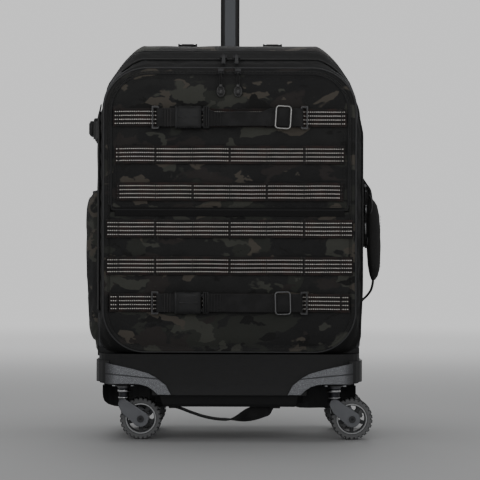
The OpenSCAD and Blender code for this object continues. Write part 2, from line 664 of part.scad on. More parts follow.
// sleeve on the pin, stem and oval tab
module pull_tab(side) color([0.20, 0.19, 0.18]) at_pocket_slider(side) {
  at_tab_pin() sleeve(2, tab_pin_r + 0.07, 3.6, 10);
  plate_y(front_y - 6.5, front_y - 4.9) translate([-1.1, 484]) square([2.2, 16.8]);
  plate_y(front_y - 7.2, front_y - 4.2) polygon(arc_pts(0, 477.3, 6, 7.8, 0, 345, 23));
}

module main_slider_left() main_slider(-1);
module main_slider_right() main_slider(1);
module pocket_slider_left() pocket_slider(-1);
module pocket_slider_right() pocket_slider(1);
module pull_tab_left() pull_tab(-1);
module pull_tab_right() pull_tab(1);

place() base_tray();
place() corner_guards();
place() guard_inserts();
place() caster_mounts();
place() swivel_pins();
place() base_screws();
place() main_shell();
place() frame_board();
place() frame_hoop();
place() main_zip_coil();
place() side_pocket();
place() side_strap();
place() side_buckle();
place() handle_anchors();
place() top_handle();
place() side_handle();
place() bottom_handle();
place() handle_outer_tube();
place() handle_bezel();
place() handle_foot();
place() handle_mid_tube();
place() handle_inner_tube();
place() handle_grip();
place() grip_button();
place() push_rod();
place() lock_pin();
place() lid_shell();
place() lid_webbing();
place() lower_strap();
place() lower_buckle();
place() lower_hooks();
place() lower_ring();
place() flap_panel();
place() flap_webbing();
place() upper_strap();
place() upper_buckle();
place() upper_hooks();
place() upper_ring();
place() main_slider_left();
place() main_slider_right();
place() pocket_slider_left();
place() pocket_slider_right();
place() pull_tab_left();
place() pull_tab_right();
place() fork_front_left();
place() axle_front_left();
place() hub_front_left();
place() tyre_front_left();
place() fork_front_right();
place() axle_front_right();
place() hub_front_right();
place() tyre_front_right();
place() fork_rear_left();
place() axle_rear_left();
place() hub_rear_left();
place() tyre_rear_left();
place() fork_rear_right();
place() axle_rear_right();
place() hub_rear_right();
place() tyre_rear_right();
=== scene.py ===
"""Soft suitcase on four casters: camouflage cloth shell, front lid with a hinged pocket flap,
webbing and clip straps across the front, pocket and strap on the left, handle on the right.

Piece coordinates are millimetres: X across (left -, right +), Y front (-) to back (+), Z up from
the body datum. X 0 is the centre line of the base tray and Y 115 the flat back of the shell.
ORIGIN carries them into the row frame. Materials, stage, lights and camera are in metres.
"""
from math import cos, pi, radians, sin

import bmesh
import bpy
import numpy as np
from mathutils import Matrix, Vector, noise as mnoise


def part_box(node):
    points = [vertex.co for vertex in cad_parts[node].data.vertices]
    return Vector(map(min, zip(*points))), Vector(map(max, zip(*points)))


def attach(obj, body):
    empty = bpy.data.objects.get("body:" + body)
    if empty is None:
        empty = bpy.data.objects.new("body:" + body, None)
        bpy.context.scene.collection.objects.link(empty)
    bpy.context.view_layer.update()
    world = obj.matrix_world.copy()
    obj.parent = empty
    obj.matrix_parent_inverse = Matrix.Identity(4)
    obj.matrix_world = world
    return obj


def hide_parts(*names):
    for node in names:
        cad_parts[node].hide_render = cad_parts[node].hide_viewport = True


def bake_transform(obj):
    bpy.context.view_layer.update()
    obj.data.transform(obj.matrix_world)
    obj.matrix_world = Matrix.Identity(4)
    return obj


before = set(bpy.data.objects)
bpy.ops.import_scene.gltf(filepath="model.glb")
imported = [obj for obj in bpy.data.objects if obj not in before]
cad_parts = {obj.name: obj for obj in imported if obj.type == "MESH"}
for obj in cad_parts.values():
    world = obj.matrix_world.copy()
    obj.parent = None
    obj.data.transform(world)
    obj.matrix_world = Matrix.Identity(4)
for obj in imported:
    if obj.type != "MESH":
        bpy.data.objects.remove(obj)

scene = bpy.context.scene
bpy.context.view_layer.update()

# ---------------------------------------------------------------- driving dimensions (mm)
BACK_Y = 115.0
GUARD_BOTTOM_Z = 78.0
SHELL_BOTTOM_Z = 125.3
LINING_INSET = 4.2
SEAM_Y = -62                # seam between the camouflage sides and the black zip gusset
PANEL_Y = -117.6            # front face of the sewn lid and flap panels
WEB_Y = -119.0              # middle of the webbing where it is sewn down
LOWER_CLIP_Z, UPPER_CLIP_Z = 187.5, 441.5
TACK_PITCH = 51
TACK_X = range(-3 * TACK_PITCH, 3 * TACK_PITCH + 1, TACK_PITCH)
# webbing strips: (height, half width)
WEBBING = {"lid_webbing": [(LOWER_CLIP_Z, 165), (238.3, 169.5), (289.1, 169.5)],
           "flap_webbing": [(339.9, 156), (390.7, 158), (UPPER_CLIP_Z, 160)]}
WEB_Z = [z for strips in WEBBING.values() for z, _ in strips]
CLIPS = (("lower", LOWER_CLIP_Z, "front_lid"), ("upper", UPPER_CLIP_Z, "front_flap"))
CASTERS = ("front_left", "front_right", "rear_left", "rear_right")
FRONT = (0, -1, 0.013)      # towards the front, tilted so that no path runs along it

tray_low, tray_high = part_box("base_tray")
ORIGIN = np.array([(tray_low.x + tray_high.x) / 2,
                   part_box("main_shell")[1].y - BACK_Y / 1000,
                   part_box("corner_guards")[0].z - GUARD_BOTTOM_Z / 1000])


def to_frame(position):
    """Case millimetres to metres in the row frame."""
    return np.asarray(position, float) * 0.001 + ORIGIN


def node_box(node):
    """A node's low and high corners in case millimetres."""
    low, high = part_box(node)
    return (np.array(low) - ORIGIN) * 1000, (np.array(high) - ORIGIN) * 1000


# ---------------------------------------------------------------- material graphs
MATERIALS = {}
SOCKETS = dict(color="Base Color", roughness="Roughness", metallic="Metallic", normal="Normal",
               sheen="Sheen Weight", sheen_roughness="Sheen Roughness",
               specular="Specular IOR Level")


class Material:
    """Node graph of one Principled material, textured from object coordinates."""

    def __init__(self, name):
        self.material = MATERIALS[name] = bpy.data.materials.new(name)
        self.material.use_nodes = True
        self.tree = self.material.node_tree
        self.tree.nodes.clear()
        self.output = self.node("OutputMaterial")
        self.shader = self.node("BsdfPrincipled")
        self.link(self.shader.outputs[0], self.output.inputs[0])
        self.coords = self.node("TexCoord").outputs["Object"]

    def node(self, kind):
        return self.tree.nodes.new("ShaderNode" + kind)

    def link(self, source, target):
        self.tree.links.new(source, target)

    def put(self, socket, value):
        if hasattr(value, "is_output"):
            self.link(value, socket)
        elif isinstance(value, tuple) and len(value) == 3 and socket.type == "RGBA":
            socket.default_value = (*value, 1)
        else:
            socket.default_value = value

    def math(self, operation, *values):
        node = self.node("Math")
        node.operation = operation
        for socket, value in zip(node.inputs, (*values, 0.0, 0.0)):
            self.put(socket, value)
        return node.outputs[0]

    def add(self, first, second):
        return self.math("ADD", first, second)

    def subtract(self, first, second):
        return self.math("SUBTRACT", first, second)

    def multiply(self, first, second):
        return self.math("MULTIPLY", first, second)

    def invert(self, mask):
        return self.subtract(1.0, mask)

    def distance(self, first, second):
        return self.math("ABSOLUTE", self.subtract(first, second))

    def hypotenuse(self, first, second):
        squares = self.multiply(first, first), self.multiply(second, second)
        return self.math("SQRT", self.add(*squares))

    def mapping(self, stretch=(1, 1, 1), shift=(0, 0, 0), source=None):
        node = self.node("Mapping")
        self.link(source or self.coords, node.inputs[0])
        node.inputs["Location"].default_value = shift
        node.inputs["Scale"].default_value = stretch
        return node.outputs[0]

    def noise(self, scale, detail=2.0, roughness=0.5, distortion=0.0, **mapping):
        vector = self.mapping(**mapping)
        node = self.node("TexNoise")
        self.link(vector, node.inputs["Vector"])
        node.inputs["Scale"].default_value = scale
        node.inputs["Detail"].default_value = detail
        node.inputs["Roughness"].default_value = roughness
        node.inputs["Distortion"].default_value = distortion
        return node.outputs["Fac"]

    def step(self, value, low, high):
        node = self.node("MapRange")
        node.interpolation_type = "SMOOTHSTEP"
        self.put(node.inputs["Value"], value)
        node.inputs["From Min"].default_value = low
        node.inputs["From Max"].default_value = high
        return node.outputs[0]

    def mix(self, mask, first, second, amount=None):
        """Colour mix; amount scales the mask."""
        if amount is not None:
            mask = self.multiply(mask, amount)
        node = self.node("Mix")
        node.data_type = "RGBA"
        node.clamp_factor = True
        for index, value in ((0, mask), (6, first), (7, second)):
            self.put(node.inputs[index], value)
        return node.outputs[2]

    def xyz(self, source=None):
        node = self.node("SeparateXYZ")
        self.link(source or self.coords, node.inputs[0])
        return node.outputs

    def bump(self, height, strength, distance, normal=None):
        node = self.node("Bump")
        node.inputs["Strength"].default_value = strength
        node.inputs["Distance"].default_value = distance
        self.link(height, node.inputs["Height"])
        if normal is not None:
            self.link(normal, node.inputs["Normal"])
        return node.outputs[0]

    def bevel(self, radius):
        node = self.node("Bevel")
        node.samples = 3
        node.inputs["Radius"].default_value = radius
        return node.outputs[0]

    def pointiness(self):
        return self.node("NewGeometry").outputs["Pointiness"]

    def worn_and_lit_edges(self, color, low, high, amount, wear_and_highlight_color):
        """Mixes a lighter colour in over convex edges: partly edge wear, partly a painted
        highlight.
        """
        return self.mix(self.step(self.pointiness(), low, high), color, wear_and_highlight_color, amount)

    def finish(self, **values):
        for key, value in values.items():
            self.put(self.shader.inputs[SOCKETS[key]], value)


def tint(color, gain, lift=0.0):
    return tuple(min(1, channel * gain + lift) for channel in color)


def weave(mat, pitch):
    """Plain-weave height from the three object axes, so it needs no UVs."""
    x, y, z = mat.xyz()
    turns = 2 * pi / pitch
    across = mat.math("SINE", mat.multiply(mat.add(x, y), turns))
    upward = mat.math("SINE", mat.multiply(z, turns))
    slant = mat.math("SINE", mat.multiply(mat.subtract(x, y), turns))
    crossing = mat.math("MAXIMUM", mat.multiply(across, upward), 0.0)
    return mat.add(crossing, mat.multiply(slant, 0.15))


def fabric(name, color, variation=0.25, roughness=0.86, sheen=0.06, pitch=0.0011, relief=0.25):
    mat = Material(name)
    patches = mat.noise(scale=22, detail=3, roughness=0.55)
    fibres = mat.noise(scale=900, roughness=0.6)
    shade = mat.mix(patches, tint(color, 1 - variation), tint(color, 1 + variation))
    shade = mat.mix(mat.step(fibres, low=0.5, high=0.75), shade, tint(color, 1.9, 0.004),
                    amount=0.5)
    # lighter convex edges: partly edge wear, partly a painted highlight
    shade = mat.worn_and_lit_edges(shade, low=0.53, high=0.62, amount=0.2, wear_and_highlight_color=tint(color, 2.2, 0.006))
    normal = mat.bump(weave(mat, pitch), strength=relief, distance=0.0003)
    normal = mat.bump(mat.noise(scale=160, detail=3, roughness=0.6), strength=0.18,
                      distance=0.0012, normal=normal)
    mat.finish(color=shade, roughness=mat.add(mat.multiply(patches, 0.12), roughness - 0.06),
               normal=normal, sheen=sheen, sheen_roughness=0.45, specular=0.3)


# camouflage blobs, bottom layer first: (noise shift, noise scale, threshold, edge softness, colour)
CAMO_BASE = (0.0175, 0.0175, 0.0174)
CAMO_BLOBS = (
    ((0.7, 0.2, 0.9), 7.5, 0.470, 0.050, (0.0138, 0.0138, 0.0141)),
    ((5.7, 1.2, 2.9), 12, 0.560, 0.020, (0.0275, 0.0290, 0.0250)),
    ((2.2, 7.1, 4.3), 15, 0.590, 0.030, (0.0270, 0.0232, 0.0220)),
    ((8.4, 3.3, 6.1), 17, 0.600, 0.018, (0.0520, 0.0530, 0.0450)),
    ((1.4, 9.3, 3.7), 19, 0.612, 0.018, (0.0720, 0.0630, 0.0520)),
    ((6.6, 5.5, 8.2), 24, 0.640, 0.020, (0.0095, 0.0093, 0.0092)))


def camo():
    """Dark woven camouflage: stretched blobs from layered, warped noise."""
    mat = Material("camo_cloth")
    stretched = mat.mapping(stretch=(1.0, 1.0, 1.75))
    warp = mat.noise(scale=34, detail=3, roughness=0.6, stretch=(1.0, 1.0, 1.5),
                     shift=(3.1, 1.7, 0.4))
    warped = mat.node("VectorMath")
    warped.operation = "ADD"
    scaled = mat.node("VectorMath")
    scaled.operation = "SCALE"
    combined = mat.node("CombineXYZ")
    for socket in combined.inputs:
        mat.link(warp, socket)
    mat.link(combined.outputs[0], scaled.inputs[0])
    scaled.inputs[3].default_value = 0.035  # reach of the warp
    mat.link(stretched, warped.inputs[0])
    mat.link(scaled.outputs[0], warped.inputs[1])

    shade = CAMO_BASE
    for shift, scale, threshold, softness, color in CAMO_BLOBS:
        blobs = mat.noise(scale=scale, detail=2.5, distortion=0.5, shift=shift,
                          source=warped.outputs[0])
        shade = mat.mix(mat.step(blobs, threshold, threshold + softness), shade, color)
    grain = mat.noise(scale=1100, roughness=0.6)
    shade = mat.mix(mat.step(grain, low=0.45, high=0.8), shade, (0.045, 0.045, 0.043),
                    amount=0.35)
    # lighter convex edges: partly edge wear, partly a painted highlight
    shade = mat.worn_and_lit_edges(shade, low=0.53, high=0.62, amount=0.16, wear_and_highlight_color=(0.05, 0.05, 0.047))
    normal = mat.bump(weave(mat, pitch=0.0011), strength=0.25, distance=0.0003)
    normal = mat.bump(mat.noise(scale=150, detail=3, roughness=0.6), strength=0.2,
                      distance=0.0015, normal=normal)
    mat.finish(color=shade, roughness=mat.add(mat.multiply(mat.noise(scale=30), 0.15), 0.70),
               normal=normal, sheen=0.06, sheen_roughness=0.4, specular=0.25)


def webbing(name, color, pitch=0.0016, patch_color=None):
    """Woven tape: ribs across its run, twill at a slant and a little fuzz."""
    mat = Material(name)
    x, y, z = mat.xyz()
    run = mat.add(x, y)
    turns = 2 * pi / pitch
    ribs = mat.math("SINE", mat.multiply(run, turns))
    slant = mat.add(z, mat.multiply(run, 0.5))
    twill = mat.math("SINE", mat.multiply(slant, turns * 0.9))
    height = mat.add(mat.multiply(ribs, 0.4), mat.multiply(twill, 0.6))
    patches = mat.noise(scale=60, detail=3)
    shade = mat.mix(mat.add(mat.multiply(height, 0.25), 0.5), tint(color, 0.6),
                    tint(color, 1.35))
    shade = mat.mix(mat.step(patches, low=0.42, high=0.68), shade,
                    patch_color or tint(color, 1.5))
    # lighter convex edges: partly edge wear, partly a painted highlight
    shade = mat.worn_and_lit_edges(shade, low=0.53, high=0.62, amount=0.4, wear_and_highlight_color=tint(color, 3, 0.01))
    normal = mat.bump(height, strength=0.35, distance=0.0003)
    normal = mat.bump(mat.noise(scale=1300), strength=0.2, distance=0.0003, normal=normal)
    mat.finish(color=shade, roughness=0.72, normal=normal, sheen=0.08, sheen_roughness=0.4,
               specular=0.3)


def plastic(name, color, roughness, bevel, grain=1500, relief=0.25, wear_and_highlight=0.35, specular=0.45):
    mat = Material(name)
    patches = mat.noise(scale=18, detail=3, roughness=0.6)
    shade = mat.mix(patches, tint(color, 0.85), tint(color, 1.15))
    scuffs = mat.noise(scale=120, detail=4, roughness=0.7, stretch=(1, 1, 6))
    # lighter convex edges: partly edge wear, partly a painted highlight
    shade = mat.worn_and_lit_edges(shade, low=0.51, high=0.58, amount=wear_and_highlight, wear_and_highlight_color=tint(color, 2.2, 0.02))
    normal = mat.bump(mat.noise(scale=grain), strength=relief, distance=0.0003,
                      normal=mat.bevel(bevel))
    scuffed = mat.multiply(mat.step(scuffs, low=0.45, high=0.75), 0.14)
    mat.finish(color=shade, roughness=mat.add(roughness - 0.05, scuffed), normal=normal,
               specular=specular)


def metal(name, color, roughness, brush=(1, 1, 1), dirt=0.3, metallic=1.0):
    mat = Material(name)
    grain = mat.noise(scale=500, detail=3, roughness=0.6, stretch=brush)
    patches = mat.noise(scale=40, detail=3, roughness=0.6)
    shade = mat.mix(mat.step(patches, low=0.4, high=0.7), color, tint(color, 0.55), amount=dirt)
    # lighter convex edges: partly edge wear, partly a painted highlight
    shade = mat.worn_and_lit_edges(shade, low=0.51, high=0.57, amount=0.4, wear_and_highlight_color=tint(color, 1.5, 0.05))
    normal = mat.bump(grain, strength=0.12, distance=0.0002, normal=mat.bevel(0.0004))
    mat.finish(color=shade, roughness=mat.add(roughness - 0.06, mat.multiply(grain, 0.16)),
               metallic=metallic, normal=normal)


def guard_grey():
    """Grey metallic-flecked plastic with one dark moulded line across each front insert."""
    mat = Material("guard_grey")
    patches = mat.noise(scale=18, detail=3, roughness=0.6)
    shade = mat.mix(patches, (0.122, 0.126, 0.136), (0.160, 0.164, 0.176))
    flecks = mat.noise(scale=1250, detail=3, roughness=0.7)
    shade = mat.mix(mat.step(flecks, low=0.54, high=0.63), shade, (0.42, 0.43, 0.45))
    specks = mat.noise(scale=800, detail=3, roughness=0.7, shift=(3, 1, 2))
    shade = mat.mix(mat.step(specks, low=0.54, high=0.66), shade, (0.045, 0.047, 0.052),
                    amount=0.8)
    x, y, z = mat.xyz()
    off_centre = mat.distance(x, float(ORIGIN[0]))
    # the line climbs 1 in 10 outwards from height 83.3 mm at 101.2 mm off centre
    rise = mat.multiply(mat.subtract(off_centre, 0.1012), 0.1000)
    from_line = mat.distance(z, mat.add(rise, float(ORIGIN[2]) + 0.0833))
    line = mat.multiply(mat.invert(mat.step(from_line, low=0.0005, high=0.0011)),
                        mat.math("LESS_THAN", y, float(ORIGIN[1])))
    shade = mat.mix(line, shade, (0.016, 0.016, 0.020), amount=0.85)
    shade = mat.mix(mat.step(off_centre, low=0.152, high=0.1705), shade, (0.018, 0.018, 0.020),
                    amount=0.9)
    normal = mat.bump(mat.noise(scale=1800), strength=0.4, distance=0.0003,
                      normal=mat.bevel(0.0008))
    normal = mat.bump(mat.invert(line), strength=0.6, distance=0.0006, normal=normal)
    mat.finish(color=shade, roughness=mat.add(0.36, mat.multiply(flecks, 0.12)), metallic=0.25,
               normal=normal, specular=0.5)


def fork_metal():
    """Cast metal with painted shade towards the top and in its hollows, and painted highlights on
    its edges.
    """
    mat = Material("fork_metal")
    x, y, z = mat.xyz()
    height = mat.subtract(z, float(ORIGIN[2]))
    patches = mat.noise(scale=55, detail=3, roughness=0.6)
    grain = mat.noise(scale=700, detail=3, roughness=0.6, stretch=(1, 1, 0.3))
    shade = mat.mix(mat.step(patches, low=0.35, high=0.7), (0.080, 0.083, 0.093),
                    (0.056, 0.059, 0.067))
    # painted shade: darker towards the top of the fork
    shade = mat.mix(mat.step(height, low=0.036, high=0.054), shade, (0.038, 0.039, 0.045),
                    amount=0.78)
    # painted highlight on the convex edges
    shade = mat.worn_and_lit_edges(shade, low=0.50, high=0.57, amount=0.5, wear_and_highlight_color=(0.22, 0.224, 0.235))
    # painted shade in the hollows
    hollows = mat.invert(mat.step(mat.pointiness(), low=0.42, high=0.49))
    shade = mat.mix(hollows, shade, (0.030, 0.030, 0.034), amount=0.7)
    normal = mat.bump(grain, strength=0.15, distance=0.0002, normal=mat.bevel(0.0012))
    mat.finish(color=shade, roughness=mat.add(0.34, mat.multiply(grain, 0.14)), metallic=0.75,
               normal=normal)


def post_metal():
    """Anodised post: painted shade on its rounded edges and a painted blue-grey reflection on its
    flat face.
    """
    mat = Material("post_metal")
    x, y, z = mat.xyz()
    # painted shade on the rounded edges; the blue-grey face colours are a painted reflection
    edge = mat.step(mat.distance(x, float(ORIGIN[0])), low=0.0072, high=0.0086)
    grain = mat.noise(scale=700, detail=3, roughness=0.6, stretch=(1, 1, 0.02))
    shade = mat.mix(grain, (0.026, 0.029, 0.034), (0.036, 0.040, 0.047), amount=0.5)
    shade = mat.mix(edge, shade, (0.006, 0.006, 0.0065))
    normal = mat.bump(grain, strength=0.1, distance=0.0002, normal=mat.bevel(0.0008))
    mat.finish(color=shade, roughness=mat.add(0.30, mat.multiply(edge, 0.2)), metallic=0.35,
               normal=normal)


def wheel_start(name, centre):
    """Material with its offsets and radius from the wheel centre, and two noises."""
    mat = Material(name)
    x, y, z = mat.xyz()
    across, up = mat.subtract(x, centre[0]), mat.subtract(z, centre[2])
    radius = mat.hypotenuse(across, up)
    grain = mat.noise(scale=1400, detail=3, roughness=0.6)
    patches = mat.noise(scale=60, detail=3, roughness=0.6)
    return mat, across, up, radius, grain, patches


def tyre_rubber(name, centre):
    """Dark tread, pale sidewall with a ring of notches painted dark as shade in the lug gaps,
    scuffed at the rim.
    """
    mat, across, up, radius, grain, patches = wheel_start(name, centre)
    facing = mat.xyz(mat.node("NewGeometry").outputs["True Normal"])
    flat = mat.step(mat.math("ABSOLUTE", facing[1]), low=0.55, high=0.75)
    side = mat.mix(patches, (0.105, 0.106, 0.108), (0.150, 0.151, 0.153))
    side = mat.mix(mat.step(grain, low=0.55, high=0.75), side, (0.21, 0.21, 0.205))
    # painted shade in the gaps between the sidewall lugs
    notch_count = 26
    turn = mat.multiply(mat.math("ARCTAN2", up, across), notch_count / (2 * pi))
    phase = mat.math("FRACT", mat.add(turn, 14.0))
    gap = mat.step(mat.distance(phase, 0.5), low=0.27, high=0.33)
    notches = mat.multiply(gap, mat.step(radius, low=0.0252, high=0.0258))
    side = mat.mix(notches, side, (0.020, 0.020, 0.021), amount=0.85)
    side = mat.mix(mat.step(radius, low=0.0272, high=0.0280), side, (0.030, 0.030, 0.031),
                   amount=0.8)
    shade = mat.mix(flat, (0.022, 0.022, 0.023), side)
    inner = mat.invert(mat.step(radius, low=0.0218, high=0.0224))
    shade = mat.mix(inner, shade, (0.022, 0.022, 0.023), amount=0.7)
    marks = mat.noise(scale=220, detail=4, roughness=0.7)
    scuffs = mat.multiply(mat.step(marks, low=0.52, high=0.7),
                          mat.step(radius, low=0.0280, high=0.0290))
    shade = mat.mix(scuffs, shade, (0.085, 0.083, 0.08), amount=0.5)
    normal = mat.bump(grain, strength=0.3, distance=0.0003, normal=mat.bevel(0.0004))
    mat.finish(color=shade, roughness=mat.add(0.55, mat.multiply(patches, 0.2)), normal=normal,
               specular=0.35)


def hub_plastic(name, centre):
    """Dark hub with a paler middle and a bright metal rim."""
    mat, across, up, radius, grain, patches = wheel_start(name, centre)
    rim = mat.step(radius, low=0.0194, high=0.0198)
    shade = mat.mix(patches, (0.020, 0.021, 0.023), (0.034, 0.035, 0.038))
    middle = mat.invert(mat.step(radius, low=0.0078, high=0.0084))
    shade = mat.mix(middle, shade, (0.060, 0.062, 0.066))
    shade = mat.mix(rim, shade, (0.42, 0.425, 0.43))
    normal = mat.bump(grain, strength=0.2, distance=0.0002, normal=mat.bevel(0.0005))
    mat.finish(color=shade, roughness=mat.subtract(0.42, mat.multiply(rim, 0.14)),
               metallic=mat.multiply(rim, 0.7), normal=normal)


camo()
fabric("black_cloth", (0.0070, 0.0069, 0.0070), pitch=0.0012, sheen=0.03)
fabric("side_cloth", (0.0115, 0.0115, 0.0120), pitch=0.0012)
fabric("grey_lining", (0.052, 0.053, 0.056), roughness=0.7, sheen=0.1, pitch=0.0007)
fabric("piping_tape", (0.036, 0.036, 0.037), variation=0.15, roughness=0.62, pitch=0.0014,
       relief=0.3)
fabric("dark_binding", (0.0155, 0.0155, 0.0160), roughness=0.65, pitch=0.0014, relief=0.3)
webbing("grid_webbing", (0.0105, 0.0085, 0.0080), patch_color=(0.024, 0.013, 0.011))
webbing("black_webbing", (0.0125, 0.0122, 0.0125))
webbing("black_webbing_side", (0.0115, 0.0112, 0.0115))
fabric("light_thread", (0.70, 0.655, 0.60), variation=0.2, roughness=0.7, sheen=0.1,
       pitch=0.0006)
fabric("black_thread", (0.018, 0.017, 0.017), roughness=0.6, pitch=0.0006)
fabric("back_cloth", (0.0185, 0.0180, 0.0180), pitch=0.0018, sheen=0.08)
fabric("handle_pad_cloth", (0.0235, 0.0231, 0.0228), pitch=0.0012, sheen=0.05)
webbing("zip_tape", (0.0095, 0.0095, 0.0095), pitch=0.0010)
plastic("zip_teeth", (0.020, 0.020, 0.020), roughness=0.35, bevel=0.0002)
plastic("buckle_plastic", (0.0062, 0.0062, 0.0066), roughness=0.48, bevel=0.0006, wear_and_highlight=0.3,
        specular=0.32)
plastic("base_plastic", (0.0075, 0.0075, 0.0079), roughness=0.56, bevel=0.0012, grain=900,
        relief=0.4, specular=0.28)
plastic("guard_black", (0.0090, 0.0090, 0.0095), roughness=0.50, bevel=0.001, grain=900,
        relief=0.35, specular=0.3)
guard_grey()
plastic("grip_plastic", (0.014, 0.014, 0.0145), roughness=0.42, bevel=0.0012)
plastic("button_plastic", (0.045, 0.046, 0.048), roughness=0.38, bevel=0.0008)
plastic("board_plastic", (0.05, 0.05, 0.052), roughness=0.6, bevel=0.0005)
metal("bright_metal", (0.30, 0.297, 0.29), roughness=0.30)
metal("zinc_steel", (0.42, 0.43, 0.44), roughness=0.36)
metal("dark_metal", (0.125, 0.125, 0.128), roughness=0.32)
metal("hook_metal", (0.045, 0.045, 0.046), roughness=0.42)
metal("slider_metal", (0.020, 0.020, 0.021), roughness=0.46)
metal("anchor_metal", (0.016, 0.016, 0.017), roughness=0.5)
fork_metal()
metal("fork_bright", (0.52, 0.52, 0.53), roughness=0.30, dirt=0.25)
metal("tube_aluminium", (0.20, 0.205, 0.215), roughness=0.38, brush=(1, 1, 0.02), dirt=0.2)
metal("axle_black", (0.016, 0.016, 0.018), roughness=0.36, metallic=0.4)
plastic("pull_rubber", (0.014, 0.0138, 0.0135), roughness=0.34, bevel=0.001, grain=2200,
        relief=0.2)
post_metal()


# ---------------------------------------------------------------- numbers and paths
def ramp(value, start, end):
    """Smooth step, 0 at start to 1 at end."""
    fraction = np.clip((value - start) / (end - start), 0, 1)
    return fraction * fraction * (3 - 2 * fraction)


def band(value, low, high, soft):
    """1 inside low..high, fading to 0 over soft."""
    return ramp(value, low - soft, low) * (1 - ramp(value, high, high + soft))


def bell(value, centre, width):
    return np.exp(-((value - centre) / width) ** 2)


def points(x, y, z):
    """Broadcasts three coordinates into an array of points."""
    return np.stack(np.broadcast_arrays(x, y, z), -1)


def angles(count):
    return np.linspace(0, 2 * pi, count, endpoint=False)


def superellipse(count, cos_power, sin_power):
    """Unit outline squared off by powers under 1, as cosine and sine arrays."""
    turn = angles(count)
    return [np.sign(wave) * abs(wave) ** power
            for wave, power in ((np.cos(turn), cos_power), (np.sin(turn), sin_power))]


def unit(vectors):
    return vectors / (np.linalg.norm(vectors, axis=-1, keepdims=True) + 1e-12)


def tangents(path, closed=False):
    if closed:
        return unit(np.roll(path, -1, 0) - np.roll(path, 1, 0))
    return unit(np.gradient(path, axis=0))


def arc_lengths(path):
    return np.r_[0, np.cumsum(np.linalg.norm(np.diff(path, axis=0), axis=1))]


def sample(values, lengths, stops):
    """Rows of values at the given distances along a path."""
    return np.stack([np.interp(stops, lengths, column) for column in values.T], -1)


def curve(stations, count):
    """Catmull-Rom curve through the stations."""
    knots = np.asarray(stations, float)
    knots = np.concatenate([knots[:1] * 2 - knots[1:2], knots, knots[-1:] * 2 - knots[-2:-1]])
    spans = len(knots) - 3
    steps = max(2, int(count / spans))
    result = []
    for i in range(spans):
        before, start, end, after = knots[i:i + 4]
        for t in np.arange(steps) / steps:
            result.append(0.5 * ((2 * start) + (end - before) * t
                                 + (2 * before - 5 * start + 4 * end - after) * t * t
                                 + (-before + 3 * start - 3 * end + after) * t**3))
    result.append(knots[-2])
    return np.array(result)


def curve_xy(stations, z, count):
    return curve([(x, y, z) for x, y in stations], count)


def spline_rows(table, stops):
    """Rows of (station, values...) sampled at stops with a smooth, overshoot-free curve."""
    table = np.array(table, float)
    x = table[:, 0]
    span = np.diff(x)
    i = np.clip(np.searchsorted(x, stops, side="right") - 1, 0, len(x) - 2)
    t = (stops - x[i]) / span[i]
    columns = []
    for value in table[:, 1:].T:
        rise = np.diff(value) / span
        slope = np.zeros(len(x))
        for k in range(1, len(x) - 1):
            if rise[k - 1] * rise[k] > 0:
                slope[k] = 2 * rise[k - 1] * rise[k] / (rise[k - 1] + rise[k])
        slope[0], slope[-1] = rise[0], rise[-1]
        columns.append((2 * t**3 - 3 * t**2 + 1) * value[i]
                       + (t**3 - 2 * t**2 + t) * span[i] * slope[i]
                       + (-2 * t**3 + 3 * t**2) * value[i + 1]
                       + (t**3 - t**2) * span[i] * slope[i + 1])
    return np.stack(columns, 1)


def noise_at(x, y, z):
    return mnoise.noise(Vector((x, y, z)))


def noise_field(positions):
    return np.array([noise_at(*p) for p in positions.reshape(-1, 3)]).reshape(
        positions.shape[:-1])


def wrinkle(positions, height, scale, seed, stretch=(1, 1, 1)):
    """Soft noise per point, in mm."""
    shift = np.array([seed, seed * 0.7, -seed])
    return noise_field(positions * np.array(stretch) * scale + shift) * height


def longest_run(mask):
    """Indices of the longest stretch of a closed path where mask holds."""
    count, best = len(mask), []
    for start in range(count):
        if mask[start] and not mask[start - 1]:
            run, i = [], start
            while mask[i % count] and len(run) < count:
                run.append(i % count)
                i += 1
            if len(run) > len(best):
                best = run
    return np.array(best)


# ---------------------------------------------------------------- rounded outlines in XZ
# A shape is (half width, bottom z, top z, bottom radius, top radius in x, top radius in z).
def grown(shape, growth):
    half, bottom, top, *radii = shape
    return (half + growth, bottom - growth, top + growth, *(r + growth for r in radii))


def shape_grid(shape, columns, arc_steps, side_steps, bottom_steps=None, power=1.0):
    """Rows of XZ points that fill a shape; the grid's edges are its outline.
    A power over 1 flattens the top corners."""
    half, bottom, top, bottom_r, top_rx, top_rz = shape
    low = np.linspace(-pi / 2, 0, (bottom_steps or arc_steps) + 1)
    side_z = np.linspace(bottom + bottom_r, top - top_rz, side_steps + 1)[1:-1]
    high = np.linspace(0, pi / 2, arc_steps + 1)
    high_cos, high_sin = (np.clip(wave, 0, 1) ** power for wave in (np.cos(high), np.sin(high)))
    z = np.r_[bottom + bottom_r + bottom_r * np.sin(low), side_z, top - top_rz + top_rz * high_sin]
    width = np.r_[half - bottom_r + bottom_r * np.cos(low), np.full(len(side_z), half),
                  half - top_rx + top_rx * high_cos]
    across = np.linspace(-1, 1, columns + 1)
    return np.stack([width[:, None] * across[None], np.repeat(z[:, None], columns + 1, 1)], 2)


def edge_index(rows, columns):
    """Grid vertex numbers round the edge, anticlockwise seen from the front."""
    bottom = list(range(columns))
    right = [i * columns + columns - 1 for i in range(1, rows)]
    top = [(rows - 1) * columns + j for j in range(columns - 2, -1, -1)]
    left = [i * columns for i in range(rows - 2, 0, -1)]
    return np.array(bottom + right + top + left)


def grid_edge(grid):
    rows, columns = grid.shape[:2]
    return grid.reshape(rows * columns, -1)[edge_index(rows, columns)]


def at_depth(grid, y):
    """XZ points placed at depth y, which may be an array."""
    return points(grid[..., 0], y, grid[..., 1])


